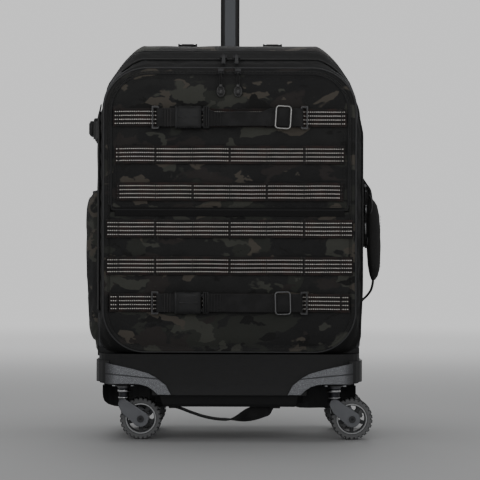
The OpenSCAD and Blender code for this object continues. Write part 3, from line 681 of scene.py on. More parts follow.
def edge_at(grid, y):
    return at_depth(grid_edge(grid), y)


def edge_distance(grid):
    """Distance of each grid point from the outline."""
    gaps = grid[:, :, None, :] - grid_edge(grid)[None, None]
    return np.sqrt((gaps ** 2).sum(-1)).min(2)


def outline(shape, count, y, power=1.0):
    """Evenly spaced closed outline, from the bottom left and anticlockwise."""
    edge = grid_edge(shape_grid(shape, 80, 24, 120, power=power))
    edge = np.r_[edge, edge[:1]]
    lengths = arc_lengths(edge)
    stops = np.linspace(0, lengths[-1], count, endpoint=False)
    return at_depth(sample(edge, lengths, stops), float(y))


def outward(path):
    """Outward directions in the XZ plane of a closed outline."""
    along = tangents(path, closed=True)
    return unit(points(along[:, 2], 0.0, -along[:, 0]))


# ---------------------------------------------------------------- mesh building
def build_mesh(name, vertices, faces, body, materials, face_materials=None, replaces=()):
    mesh = bpy.data.meshes.new(name)
    mesh.from_pydata(to_frame(vertices).tolist(), [], [tuple(int(i) for i in f) for f in faces])
    for material in materials:
        mesh.materials.append(MATERIALS[material])
    if face_materials is not None:
        mesh.polygons.foreach_set("material_index", np.asarray(face_materials, np.int32))
    mesh.polygons.foreach_set("use_smooth", np.ones(len(mesh.polygons), bool))
    mesh.validate()
    bm = bmesh.new()
    bm.from_mesh(mesh)
    bmesh.ops.recalc_face_normals(bm, faces=bm.faces)
    bm.to_mesh(mesh)
    bm.free()
    mesh.update()
    obj = bpy.data.objects.new(name, mesh)
    scene.collection.objects.link(obj)
    if body:
        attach(obj, body)
    if replaces:
        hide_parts(*replaces)
    return obj


# four rings of four corners, capped at both ends
PELLET_FACES = [(0, 1, 2, 3), (15, 14, 13, 12)] + [
    (ring * 4 + j, ring * 4 + 4 + j, ring * 4 + 4 + (j + 1) % 4, ring * 4 + (j + 1) % 4)
    for ring in range(3) for j in range(4)]


class Part:
    """Gathers closed shapes into one mesh. A shape takes the first material unless named."""

    def __init__(self, *materials):
        self.materials = materials
        self.vertices, self.faces, self.face_materials, self.count = [], [], [], 0

    def add(self, vertices, faces, material=None):
        vertices = np.asarray(vertices, float)
        index = self.materials.index(material) if material else 0
        self.vertices.append(vertices)
        self.faces += [tuple(int(i) + self.count for i in face) for face in faces]
        self.face_materials += [index] * len(faces)
        self.count += len(vertices)

    def build(self, name, body, replaces=()):
        return build_mesh(name, np.concatenate(self.vertices), self.faces, body,
                          self.materials, self.face_materials, replaces)

    def shift_x(self, distance):
        self.vertices = [v + np.array([distance, 0, 0]) for v in self.vertices]

    def rings(self, rows, material=None, closed=False):
        """Skins a list of rings of points; an open list is capped."""
        rows = np.asarray(rows, float)
        count, size = rows.shape[:2]
        faces = []
        for i in range(count if closed else count - 1):
            a, b = i * size, (i + 1) % count * size
            for j in range(size):
                k = (j + 1) % size
                faces.append((a + j, a + k, b + k, b + j))
        if not closed:
            faces.append(tuple(range(size))[::-1])
            faces.append(tuple((count - 1) * size + j for j in range(size)))
        self.add(rows.reshape(-1, 3), faces, material)

    def block(self, low, high, radius, segments, axis, material=None):
        """Block with edges rounded along one axis and chamfered ends."""
        low, high, axis = np.array(low, float), np.array(high, float), "xyz".index(axis)
        sides = [i for i in range(3) if i != axis]
        half, centre = (high - low)[sides] / 2, (high + low)[sides] / 2
        radius = min(radius, *(half * 0.98), (high[axis] - low[axis]) * 0.49)
        ends = [(radius, 0.0), (radius * 0.3, radius * 0.3), (0.0, radius)]  # inset, depth
        levels = [(low[axis] + depth, inset) for inset, depth in ends]
        levels += [(high[axis] - depth, inset) for inset, depth in reversed(ends)]
        rows = []
        for level, inset in levels:
            ring = []
            for quarter, corner in enumerate(((1, 1), (-1, 1), (-1, -1), (1, -1))):
                middle = centre + corner * (half - radius)
                for t in range(segments + 1):
                    turn = pi / 2 * (quarter + t / segments)
                    ring.append(middle + np.array([cos(turn), sin(turn)]) * (radius - inset))
            row = np.full((len(ring), 3), level)
            row[:, sides] = ring
            rows.append(row)
        rows = np.array(rows)
        self.rings(rows[:, ::-1] if axis == 1 else rows, material)

    def sweep(self, path, section, up, material=None, closed=False, scale=1.0):
        """Sweeps a section of (side, out) points; out follows up made square to the path."""
        path, section = np.asarray(path, float), np.asarray(section, float)
        along = tangents(path, closed)
        up = np.asarray(up, float)
        out = unit(up - along * (along * up).sum(1)[:, None])
        side = np.cross(along, out)
        offsets = (side[:, None] * section[None, :, 0, None]
                   + out[:, None] * section[None, :, 1, None])
        scale = np.broadcast_to(scale, len(path))[:, None, None]
        self.rings((path[:, None] + offsets * scale)[:, ::-1], material, closed)

    def tube(self, path, radius, sides, material=None, closed=False, up=FRONT):
        """Round tube; radius may vary along the path."""
        turn = angles(sides)
        self.sweep(path, np.c_[np.cos(turn), np.sin(turn)], up, material, closed, radius)

    def stitches(self, path, length, gap, radius, up=FRONT, lift=0.12):
        """Short raised black thread capsules along a path."""
        path, up = np.asarray(path, float), np.asarray(up, float)
        lengths = arc_lengths(path)
        count = int(lengths[-1] / (length + gap))
        step = lengths[-1] / count
        for i in range(count):
            stops = i * step + gap / 2 + (step - gap) * np.array([0, 0.15, 0.5, 0.85, 1])
            thread = sample(path, lengths, stops)
            thread += up * (lift + radius * np.array([-0.8, 0.2, 0.45, 0.2, -0.8]))[:, None]
            self.tube(thread, radius * np.array([0.35, 0.85, 1, 0.85, 0.35]), 5,
                      "black_thread", up=up + np.array([0.01, 0.02, 0.013]))

    def ball(self, centre, radius, material, squash=(1, 1, 1)):
        turn = angles(16)
        rows = [points(cos(tilt) * np.cos(turn), cos(tilt) * np.sin(turn), sin(tilt))
                for tilt in np.linspace(-pi / 2 * 0.97, pi / 2 * 0.97, 11)]
        self.rings(np.array(centre) + np.array(rows) * radius * np.array(squash), material)

    def lathe(self, x, y, profile, sides, material=None):
        """Upright turned solid from (z, radius) stations."""
        turn = angles(sides)
        self.rings([points(x + r * np.cos(turn), y + r * np.sin(turn), z) for z, r in profile],
                   material)


def cup(first, rings, last):
    """Closed solid: full grid first, edge rings between, full grid last. The tags count the
    stages from 0 on the first grid."""
    rows, columns = first.shape[:2]
    edge = edge_index(rows, columns)
    size = len(edge)
    quads = [(a, a + 1, a + columns + 1, a + columns)
             for i in range(rows - 1) for a in range(i * columns, i * columns + columns - 1)]
    vertices, faces, tags = [first.reshape(-1, 3)], list(quads), [0] * len(quads)
    base, previous = rows * columns, edge
    stages = [(np.asarray(ring, float), np.arange(size)) for ring in rings]
    stages.append((last.reshape(-1, 3), edge))
    for tag, (stage, order) in enumerate(stages, 1):
        vertices.append(stage)
        current = base + order
        for j in range(size):
            k = (j + 1) % size
            faces.append((previous[k], previous[j], current[j], current[k]))
        tags += [tag] * size
        previous = current
        base += size
    base -= size
    faces += [(base + d, base + c, base + b, base + a) for a, b, c, d in quads]
    tags += [len(stages) + 1] * len(quads)
    return np.concatenate(vertices), faces, np.array(tags)


def grid_normals(grid, wrap=False):
    """Vertex normals of a grid of points; wrap joins the last column to the first."""
    along = np.gradient(grid, axis=0)
    if wrap:
        across = np.roll(grid, -1, 1) - np.roll(grid, 1, 1)
    else:
        across = np.gradient(grid, axis=1)
    return unit(np.cross(across, along))


def sheet(grid, thickness):
    """Open grid to a closed sheet behind it; tags are 0 outer, 1 inner, 2 rim."""
    rows, columns = grid.shape[:2]
    inner = grid - grid_normals(grid) * thickness
    under = rows * columns
    faces, tags = [], []
    for i in range(rows - 1):
        for j in range(columns - 1):
            a = i * columns + j
            quad = (a, a + 1, a + columns + 1, a + columns)
            faces += [quad, tuple(k + under for k in quad[::-1])]
            tags += [0, 1]

    def rim(a, b, reverse):
        quad = (a, b, b + under, a + under)
        faces.append(quad[::-1] if reverse else quad)
        tags.append(2)

    last_row = (rows - 1) * columns
    for j in range(columns - 1):
        rim(j, j + 1, True)
        rim(last_row + j, last_row + j + 1, False)
    for a in range(0, last_row, columns):
        rim(a, a + columns, False)
        rim(a + columns - 1, a + 2 * columns - 1, True)
    return np.concatenate([grid.reshape(-1, 3), inner.reshape(-1, 3)]), faces, np.array(tags)


def cloth(grid, pin, travel, pressure, slack, wrap=False, bend=0.5):
    """Cloth simulation on an open grid in mm: pressure fills it, slack lets it wrinkle and
    travel limits each point's move. pin weights of 1 hold."""
    frames = 20
    rows, columns = grid.shape[:2]
    faces = []
    for i in range(rows - 1):
        for j in range(columns if wrap else columns - 1):
            k = (j + 1) % columns
            a, b = i * columns, (i + 1) * columns
            faces.append((a + j, a + k, b + k, b + j))
    mesh = bpy.data.meshes.new("sim")
    rest = to_frame(grid.reshape(-1, 3))
    mesh.from_pydata(rest.tolist(), [], faces)
    obj = bpy.data.objects.new("sim", mesh)
    scene.collection.objects.link(obj)
    group = obj.vertex_groups.new(name="pin")
    weights = np.clip(np.asarray(pin, float).ravel(), 0, 1)
    for i, weight in enumerate(weights):
        if weight > 0:
            group.add([i], float(weight), "REPLACE")
    modifier = obj.modifiers.new("Cloth", "CLOTH")
    settings = modifier.settings
    settings.quality = 5
    settings.mass = 0.25
    settings.tension_stiffness = 12
    settings.compression_stiffness = 6
    settings.shear_stiffness = 4
    settings.bending_stiffness = bend
    settings.use_pressure = True
    settings.uniform_pressure_force = pressure
    settings.effector_weights.gravity = 0
    settings.vertex_group_mass = "pin"
    settings.pin_stiffness = 1
    settings.shrink_min = -slack
    modifier.collision_settings.use_collision = False
    modifier.collision_settings.use_self_collision = False
    modifier.point_cache.frame_start = 1
    modifier.point_cache.frame_end = frames
    for number in range(1, frames + 1):
        scene.frame_set(number)
    evaluated = obj.evaluated_get(bpy.context.evaluated_depsgraph_get())
    moved = np.zeros(len(rest) * 3)
    evaluated.data.vertices.foreach_get("co", moved)
    scene.frame_set(1)
    bpy.data.objects.remove(obj)
    move = (moved.reshape(-1, 3) - rest) * 1000
    length = np.linalg.norm(move, axis=1)[:, None] + 1e-9
    limit = np.broadcast_to(np.asarray(travel, float).reshape(-1, 1), length.shape)
    move = move / length * (limit * np.tanh(length / np.maximum(limit, 1e-6)))
    move *= (1 - weights[:, None])
    return grid + move.reshape(grid.shape)


def packed(positions):
    """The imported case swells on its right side, and its upper corners shift to the right."""
    x, y, z = positions[..., 0], positions[..., 1], positions[..., 2]
    result = positions.copy()
    result[..., 0] += (2.6 * ramp(x, 110, 178) * band(z, 215, 415, 75) * ramp(y, -114, -90)
                       * (1 - ramp(y, 70, 114)))
    ends = ramp(y, -114, -90) * (1 - ramp(y, 80, 110))
    result[..., 0] += 3.9 * ramp(-x, 118, 176) * band(z, 462, 474, 20) * ends
    result[..., 0] -= 3.9 * ramp(x, 118, 176) * band(z, 450, 474, 32) * ends
    return result


# ================================================================ MAIN SHELL
# stations: y, half width, top z, top radius in x, top radius in z, corner power
SHELL_STATIONS = [
    (-88, 182, 526, 62, 76, 1.3), (-62, 183.0, 541, 62, 80, 1.38),
    (-18, 184.1, 553, 60.5, 84, 1.46), (32, 184.5, 556.5, 60, 85.5, 1.5),
    (96, 182, 554.3, 60, 85, 1.5), (109, 178.5, 549, 57, 81, 1.46),
    (BACK_Y, 171.5, 541, 52, 76, 1.42)]
SHELL_Y = np.r_[np.linspace(-88, SEAM_Y, 6), np.linspace(SEAM_Y, 96, 25)[1:],
                100.5, 105, 109, 111.6, 113.6, BACK_Y]
SHELL_ROWS = spline_rows(SHELL_STATIONS, SHELL_Y)


def shell_grid(row, inset=0.0):
    half, top, radius_x, radius_z, power = row
    shape = (half - inset, SHELL_BOTTOM_Z + inset, top - inset, 3, radius_x - inset,
             radius_z - inset)
    return shape_grid(shape, 54, 16, 58, bottom_steps=2, power=power)


def shell_normals(skin):
    normals = grid_normals(skin, wrap=True)
    return normals * np.sign((normals * (skin - np.array([0, 0, 330]))).sum(2).mean())


def shell_skin():
    """Outer skin as rings from front to back, filled and creased, with its normals."""
    rest = packed(np.array([edge_at(shell_grid(row), y) for y, row in zip(SHELL_Y, SHELL_ROWS)]))
    x, y, z = rest[..., 0], rest[..., 1], rest[..., 2]
    pin = np.zeros(x.shape)
    pin[0] = 1
    pin[1] = 0.6
    pin[-6:] = 1
    pin[-8:-6] = 0.5
    pin[z < 127] = 1
    pin[(z >= 127) & (z < 133)] = 0.7
    pin[np.abs(y - SEAM_Y) < 0.5] = 0.85
    # the cloth moves less under the pieces fixed to it
    left, right, top = x < -172, x > 172, z > 500
    travel = np.full(x.shape, 3.0)
    travel *= 1 - 0.85 * band(y, -52, 66, 10) * band(z, 120, 350, 8) * left
    travel *= 1 - 0.8 * band(y, -72, 100, 6) * band(z, 414, 450, 6) * left
    travel *= 1 - (0.8 * band(y, -20, 20, 8)
                   * (band(z, 340, 370, 6) + band(z, 172, 200, 6)) * right)
    fixings = (band(y, 4, 36, 6) * band(np.abs(x), 44, 80, 6)
               + band(y, 40, 115, 6) * band(np.abs(x), 0, 80, 6)).clip(0, 1)
    travel *= 1 - 0.85 * top * fixings
    travel *= 1 - 0.5 * top
    skin = cloth(rest, pin, travel, pressure=5, slack=0.022, wrap=True, bend=0.4)
    # the filled case only ever pushes its cloth outwards, so the lining stays behind it
    normals = shell_normals(rest)
    skin = skin + normals * np.clip(-((skin - rest) * normals).sum(2), 0, None)[..., None]
    normals = shell_normals(skin)
    free = (1 - pin) * np.clip(travel / 3.0, 0, 1)
    soft = (wrinkle(skin, 1.3, 0.016, seed=3.0)
            + wrinkle(skin, 0.6, 0.05, seed=9.0, stretch=(1, 1, 0.5)))
    corner = band(z, 440, 540, 40) * (np.abs(x) > 120)
    creases = wrinkle(skin, 1.2, 0.035, seed=21.0, stretch=(0.6, 1.6, 0.9)) * corner
    skin = skin + normals * ((soft + creases) * free * 0.9 - 0.5 * free)[..., None]
    # groove along the gusset seam
    skin = skin - normals * (0.9 * bell(y, SEAM_Y, 2.2) * (z > 130))[..., None]
    # hollows across the top, and a flat bed in its middle
    top = ramp(skin[..., 2], 500, 530)
    rear = noise_field(skin * np.array([0.016, 0.004, 0]) + np.array([7.3, 0, 1.9]))
    front = noise_field(skin * np.array([0.02, 0, 0]) + np.array([2.1, 0.4, 5.2]))
    skin_x, skin_y = skin[..., 0], skin[..., 1]
    skin[..., 2] -= top * (1.5 + 1.9 * rear).clip(0, 3.2) * band(skin_y, 4, 70, 22)
    skin[..., 2] += top * band(skin_y, -44, -12, 22) * (1.5 + 1.1 * front)
    skin[..., 2] -= 2.2 * top * band(skin_y, 42, 66, 8) * band(np.abs(skin_x), 0, 74, 8)
    return skin, normals


def shell_back():
    """Flat back panel with sewn channels pressed into it."""
    grid = shell_grid(SHELL_ROWS[-1])
    half, top = SHELL_ROWS[-1][:2]
    x, z = np.abs(grid[..., 0]), grid[..., 1]
    channels = sum(bell(x, line, 2.0) for line in (27, 92))
    channels = channels + sum(bell(z, line, 2.0) * (x > 27) for line in (200, 285, 370, 455))
    edge = np.minimum.reduce([half - x, z - SHELL_BOTTOM_Z, top - z])
    return at_depth(grid, BACK_Y - 2.3 * np.clip(channels, 0, 1) - 0.8 * bell(edge, 9, 2.0))


def build_shell(skin):
    lining = [packed(edge_at(shell_grid(row, LINING_INSET), y))
              for y, row in zip(SHELL_Y[:-4], SHELL_ROWS[:-4])]
    lining_back = at_depth(shell_grid(SHELL_ROWS[-5], LINING_INSET), 109.8)
    vertices, faces, tags = cup(shell_back(), list(skin[-2::-1]) + lining, lining_back)
    camo_index, black_index, lining_index, back_index = range(4)
    face_materials = []
    for tag, face in zip(tags, faces):
        if tag == 0:
            face_materials.append(back_index)
        elif tag < len(SHELL_Y):
            in_gusset = vertices[list(face)].mean(0)[1] < SEAM_Y
            face_materials.append(black_index if in_gusset else camo_index)
        else:
            face_materials.append(lining_index)
    return build_mesh("shell_fabric", vertices, faces, "case",
                      ["camo_cloth", "black_cloth", "grey_lining", "back_cloth"],
                      face_materials, ["main_shell"])


def cut_slot(obj, low, high):
    """Opens a rectangular slot through both skins of a thick sheet and closes its edge."""
    bm = bmesh.new()
    bm.from_mesh(obj.data)
    low, high = to_frame(low), to_frame(high)
    pad = 0.001

    def touches(face):
        x, y, z = zip(*(vert.co for vert in face.verts))
        return (max(x) > low[0] - pad and min(x) < high[0] + pad
                and max(y) > low[1] - pad and min(y) < high[1] + pad
                and min(z) > low[2] and max(z) < high[2])

    for corner, normal in ((low, (1, 0, 0)), (high, (1, 0, 0)), (low, (0, 1, 0)),
                           (high, (0, 1, 0))):
        faces = [face for face in bm.faces if touches(face)]
        edges = {edge for face in faces for edge in face.edges}
        verts = {vert for face in faces for vert in face.verts}
        bmesh.ops.bisect_plane(bm, geom=faces + list(edges) + list(verts),
                               plane_co=(corner[0], corner[1], low[2]), plane_no=normal,
                               dist=1e-6)
    centres = [(face, face.calc_center_median()) for face in bm.faces]
    gone = [face for face, centre in centres
            if all(low[i] < centre[i] < high[i] for i in range(3))]
    bmesh.ops.delete(bm, geom=gone, context="FACES")
    rim = [edge for edge in bm.edges if edge.is_boundary]
    for face in bmesh.ops.bridge_loops(bm, edges=rim)["faces"]:
        face.material_index = 2
    bmesh.ops.recalc_face_normals(bm, faces=bm.faces)
    bm.to_mesh(obj.data)
    bm.free()
    obj.data.update()


skin, skin_normals = shell_skin()
shell = build_shell(skin)
tube_low, tube_high = node_box("handle_outer_tube")
SLOT_MARGIN = 0.9
for slot_bottom, slot_top in ((110, 150), (520, 600)):
    cut_slot(shell, (tube_low[0] + SLOT_MARGIN, tube_low[1] + SLOT_MARGIN, slot_bottom),
             (tube_high[0] - SLOT_MARGIN, tube_high[1] - SLOT_MARGIN, slot_top))


def build_shell_seams():
    """Piping at the gusset and round the back, with stitches beside each."""
    part = Part("dark_binding", "black_thread")
    seam = int(np.argmin(np.abs(SHELL_Y - SEAM_Y)))
    back = len(SHELL_Y) - 4
    for ring, radius, lift in ((seam, 1.35, 0.2), (back, 1.9, 0.6)):
        keep = longest_run(skin[ring][:, 2] > 131)
        part.tube((skin[ring] + skin_normals[ring] * lift)[keep], radius, 8, up=(0, 1, 0.013))
    for ring in (seam + 1, back - 3):
        keep = longest_run(skin[ring][:, 2] > 133)
        path, normals = skin[ring][keep], skin_normals[ring][keep]
        lengths = arc_lengths(path)
        count = int(lengths[-1] / 4.4)
        for i in range(count):
            stops = (i + np.array([0.12, 0.3, 0.5, 0.7, 0.88])) * lengths[-1] / count
            thread, up = sample(path, lengths, stops), sample(normals, lengths, stops)
            # none on the back row at the top middle
            if ring == back - 3 and abs(thread[2, 0]) < 28 and thread[2, 2] > 500:
                continue
            thread = thread + up * (0.28 * np.array([-0.5, 0.5, 0.8, 0.5, -0.5]))[:, None]
            part.tube(thread, 0.3 * np.array([0.4, 0.9, 1, 0.9, 0.4]), 5, "black_thread",
                      up=up[2] + np.array([0.011, 0.017, 0.013]))
    part.build("shell_seams", "case")


build_shell_seams()


# ================================================================ ZIPS
def zip_teeth(part, path, keep, y, half_depth, pitch, height, width, phase):
    """Evenly pitched teeth round a closed outline, where keep holds."""
    normals = outward(path)
    path, normals = np.r_[path, path[:1]], np.r_[normals, normals[:1]]
    lengths = arc_lengths(path)
    total = lengths[-1]
    count = int(total / pitch)
    for i in range(count):
        stop = (i + phase) * total / count % total
        centre = sample(path, lengths, stop)
        if not keep(centre):
            continue
        out = unit(sample(normals, lengths, stop))
        along = np.cross(out, [0, 1, 0])
        vertices = []
        for depth, inset in ((-1, 0.35), (-0.5, 0), (0.5, 0), (1, 0.35)):
            for side, rise in ((-1, -1), (1, -1), (1, 1), (-1, 1)):
                corner = (centre + along * side * (width / 2 - inset)
                          + out * rise * (height / 2 - inset))
                corner[1] = y + depth * half_depth
                vertices.append(corner)
        part.add(vertices, PELLET_FACES, "zip_teeth")


def build_zip_half(name, body, path, tape_mask, tape_section, replaces=(), **teeth):
    """Tape of (y, outward offset) corners with teeth along it."""
    part = Part("zip_tape", "zip_teeth")
    keep = longest_run(tape_mask)
    rows = []
    for y, offset in tape_section:
        row = path[keep] + outward(path)[keep] * offset
        row[:, 1] = y
        rows.append(row)
    part.rings(np.transpose(rows, (1, 0, 2)))
    zip_teeth(part, path, **teeth)
    part.build(name, body, replaces)


MAIN_ZIP_SHAPE = (182.2, 119.6, 525.6, 24, 62, 75)
zip_path = packed(outline(MAIN_ZIP_SHAPE, 600, -89.5, power=1.3))
# name, body, teeth y, phase, tape edge y at the teeth and away from them, replaced nodes
for name, body, teeth_y, phase, near_y, far_y, replaced in (
        ("main_zip_shell_side", "case", -88.9, 0.0, -88.4, -86.0, ["main_zip_coil"]),
        ("main_zip_lid_side", "front_lid", -90.3, 0.5, -90.9, -93.4, ())):
    build_zip_half(name, body, zip_path, (zip_path[:, 0] > -152) & (zip_path[:, 2] > 127),
                   ((near_y, -1.7), (near_y, 0.1), (far_y, 0.5), (far_y, -1.3)), replaced,
                   keep=lambda p: p[0] > -150 and p[2] > 128, y=teeth_y, half_depth=0.85,
                   pitch=2.3, height=2.6, width=1.35, phase=phase)

# ================================================================ LID
# stations: y, half width, bottom z, top z, bottom radius, top radius in x and z, corner power
LID_STATIONS = [
    (-118.2, 169.6, 123.0, 507.2, 55.5, 59.5, 56.5, 1.0),
    (-117.6, 172.0, 121.0, 509.0, 56.5, 60.5, 57.5, 1.0),
    (-116.0, 173.4, 119.8, 510.3, 57, 61, 58, 1.02),
    (-112, 174.6, 119.4, 512.6, 52, 61.2, 60.6, 1.06),
    (-105, 176.6, 118.9, 516.6, 42, 61.5, 65, 1.13),
    (-98, 178.7, 118.5, 520.6, 33, 61.8, 69.6, 1.22),
    (-93, 180.4, 118.25, 523.4, 26, 62, 73, 1.28),
    (-91, 181.0, 118.2, 524.4, 24, 62, 74, 1.3)]
LID_Y = np.r_[np.linspace(-91, -116, 9), -117.1, -117.9]
LID_ROWS = spline_rows(LID_STATIONS, LID_Y)


def lid_ring(y, row, inset=0.0):
    half, bottom, top, bottom_r, top_rx, top_rz, power = row
    shape = (half - inset, bottom + inset, top - inset, max(bottom_r - inset, 2),
             top_rx - inset, top_rz - inset)
    return edge_at(shape_grid(shape, 54, 12, 54, power=power), y)


def build_lid_gusset():
    rest = packed(np.array([lid_ring(y, row) for y, row in zip(LID_Y, LID_ROWS)]))
    pin = np.zeros(rest.shape[:2])
    pin[0] = 1
    pin[-4:] = 1
    pin[1] = 0.5
    pin[rest[..., 2] < 122] = 1
    outer = cloth(rest, pin, 1.4, pressure=4, slack=0.02, wrap=True)
    creases = wrinkle(outer, 0.9, 0.03, seed=5.0, stretch=(1, 2, 1)) * (1 - pin)
    outer = outer + outward(outer[0])[None] * creases[..., None]
    inner = [lid_ring(-117.9, LID_ROWS[-1], 7.2), lid_ring(-114.6, LID_ROWS[-3], 5.5)]
    inner += [packed(lid_ring(y, row, 2.6)) for y, row in list(zip(LID_Y, LID_ROWS))[::-1][4:]]
    rows = np.concatenate([outer, np.array(inner)])
    part = Part("black_cloth", "grey_lining", "camo_cloth")
    part.rings(rows, closed=True)
    count = len(LID_Y)
    part.face_materials = [0 if k < count - 3 else (2 if k < count + 1 else 1)
                           for k in np.repeat(np.arange(len(rows)), outer.shape[1])]
    part.build("lid_gusset", "front_lid", ["lid_shell"])


def build_panel(name, body, shape, back_y, seed, replaces=()):
    """Sewn front panel, pinned at its edge and along each webbing strip, filled between."""
    def grid(growth):
        return shape_grid(grown(shape, growth), 64, 10, 44)

    flat = grid(0)
    rest = at_depth(flat, PANEL_Y)
    height = flat[..., 1]
    edge = edge_distance(flat)
    pin = 1 - ramp(edge, 1.0, 7.0)
    for strip_z in WEB_Z:
        for side in (-11, 11):
            pin = np.maximum(pin, 0.55 * bell(height, strip_z + side, 2.5))
    under_web = np.clip(sum(band(height, z - 10, z + 10, 4) for z in WEB_Z), 0, 1)
    front = cloth(rest, pin, 2.0 * (1 - 0.55 * under_web), pressure=3.2, slack=0.018, bend=0.4)
    # crown between the strips, small creases running from the stitching
    crown = ramp(edge, 0, 26) * (1 - 0.75 * under_web)
    creases = (wrinkle(rest, 0.9, 0.022, seed, (0.8, 1, 1.3))
               + wrinkle(rest, 0.45, 0.07, seed + 5, (1.6, 1, 0.7)) * (1 - 0.5 * under_web))
    front[..., 1] -= crown + creases * ramp(edge, 2, 14) * (1 - 0.6 * under_web)
    front[..., 1] += 0.8 * bell(edge, 6.5, 1.5)
    front[..., 1] = np.maximum(front[..., 1], PANEL_Y - 3.6 + 2.3 * under_web)
    front[..., 1] = np.minimum(front[..., 1], PANEL_Y + 0.9)
    rim = [edge_at(grid(0.5), PANEL_Y * (1 - t) + back_y * t) for t in (0.2, 0.8)]
    vertices, faces, tags = cup(front, rim, at_depth(grid(-0.6), back_y))
    build_mesh(name, vertices, faces, body, ["camo_cloth", "black_cloth"],
               np.where(tags == tags.max(), 1, 0), replaces)


def build_divider():
    """Light lining sheet behind the pocket."""
    shape = (176.5, 121.5, 516, 40, 61, 66)
    grid = shape_grid(shape, 48, 8, 48)
    edge = edge_distance(grid)
    front = at_depth(grid, 0.0)
    front[..., 1] = (-101.8 + 0.5 * ramp(edge, 0, 20)
                     + wrinkle(front, 0.7, 0.02, seed=14.0) * ramp(edge, 2, 20))
    rim = edge_at(shape_grid(grown(shape, 0.7), 48, 8, 48), -100.9)
    vertices, faces, _ = cup(front, [rim], front + np.array([0, 1.8, 0]))
    build_mesh("pocket_divider", vertices, faces, "front_lid", ["grey_lining"])


build_lid_gusset()
build_panel("lid_lower_panel", "front_lid", (168.6, 124.0, 312.2, 54.5, 1.2, 1.2), -114.4,
            seed=2.0)
build_panel("flap_fabric", "front_flap", (163, 314.3, 502.4, 1.6, 53, 51), -114.2, seed=31.0,
            replaces=["flap_panel"])
build_divider()

# piping round the lid's front edge and a row of stitches
part = Part("piping_tape", "black_thread", "dark_binding")
part.tube(outline((173.3, 119.9, 510.2, 57, 61, 58), 420, -117.0), 1.05, 10, closed=True)
part.stitches(outline((167.2, 125.6, 505.2, 51, 56, 53), 420, -118.35), 3.2, 1.3, 0.27)
part.build("lid_piping", "front_lid")

# pocket zip: name, body, teeth offset from the flap edge, phase, tape offsets from that edge
for name, body, offset, phase, tape_inner, tape_outer in (
        ("pocket_zip_lid_side", "front_lid", 2.9, 0.0, 1.9, 5.4),
        ("pocket_zip_flap_side", "front_flap", 1.15, 0.5, 0.6, 1.4)):
    path = outline((163 + offset, 300, 502.4 + offset, 3, 53 + offset, 51 + offset), 420,
                   PANEL_Y)
    inner, outer = tape_inner - offset, tape_outer - offset
    build_zip_half(name, body, path, path[:, 2] > 320,
                   ((-117.7, inner), (-117.7, outer), (-116.5, outer), (-116.5, inner)),
                   keep=lambda p: p[2] > 322, y=-118.0, half_depth=0.75, pitch=1.9,
                   height=1.5, width=1.1, phase=phase)

# flap edge binding and stitches
part = Part("dark_binding", "black_thread")
part.tube(outline((162.6, 315.2, 501.8, 3, 52.6, 50.6), 420, -118.1), 0.95, 8, closed=True)
part.stitches(outline((157, 320.5, 496.2, 4, 48, 46), 400, -118.0), 3.2, 1.3, 0.27)
part.build("flap_binding", "front_flap")

# ================================================================ WEBBING GRID
WEB_HALF, WEB_THICK = 12.7, 0.75
DASH_ROWS = (-8.1, -2.7, 2.7, 8.1)
# section: (side, out), with shallow lanes in the face
WEB_SECTION = [
    (WEB_HALF, 0.1), (WEB_HALF - 0.25, WEB_THICK * 0.8), (WEB_HALF - 0.9, WEB_THICK),
    (8.1, WEB_THICK + 0.05), (5.4, WEB_THICK - 0.1), (2.7, WEB_THICK + 0.05),
    (0, WEB_THICK - 0.12),
    (-2.7, WEB_THICK + 0.05), (-5.4, WEB_THICK - 0.1), (-8.1, WEB_THICK + 0.05),
    (-WEB_HALF + 0.9, WEB_THICK), (-WEB_HALF + 0.25, WEB_THICK * 0.8), (-WEB_HALF, 0.1),
    (-WEB_HALF + 0.25, -WEB_THICK * 0.8), (-WEB_HALF + 0.9, -WEB_THICK), (0, -WEB_THICK),
    (WEB_HALF - 0.9, -WEB_THICK), (WEB_HALF - 0.25, -WEB_THICK * 0.8)]


def strip_depth(x, tacks):
    """Depth of the webbing's middle: sewn down at each bar tack, standing off between."""
    distance = np.min([np.abs(np.asarray(x) - tack) for tack in tacks], 0)
    return WEB_Y - 1.45 * ramp(distance, 1.2, 9.0)


def web_dashes(part, z, half, tacks, sway_at):
    """Light dashes woven into the face, cut short at the tacks."""
    count = int((2 * half - 3) / 2.9)
    for row in DASH_ROWS:
        for i in range(count):
            centre = -half + 1.5 + (i + 0.5) * (2 * half - 3) / count
            start, end = centre - 1.03, centre + 1.03
            tack = TACK_PITCH * round(centre / TACK_PITCH)
            if tack in tacks and abs(centre - tack) < 2.0:
                if centre < tack:
                    end = min(end, tack - 0.62)
                else:
                    start = max(start, tack + 0.62)
                if end - start < 0.3:
                    continue
            start_y, end_y = strip_depth(np.array([start, end]), tacks)
            dash_z = z + row + sway_at(centre)
            face = WEB_THICK - 0.15
            vertices = []
            for x, y, wide, lift in (
                    (start, start_y, 0.46, face),
                    (start + 0.32, start_y * 0.8 + end_y * 0.2, 0.74, face + 0.38),
                    (end - 0.32, start_y * 0.2 + end_y * 0.8, 0.74, face + 0.38),
                    (end, end_y, 0.46, face)):
                vertices += [(x, y - lift + 0.3, dash_z - wide), (x, y - lift, dash_z - wide * 0.5),
                             (x, y - lift, dash_z + wide * 0.5), (x, y - lift + 0.3, dash_z + wide)]
            part.add(vertices, PELLET_FACES, "light_thread")


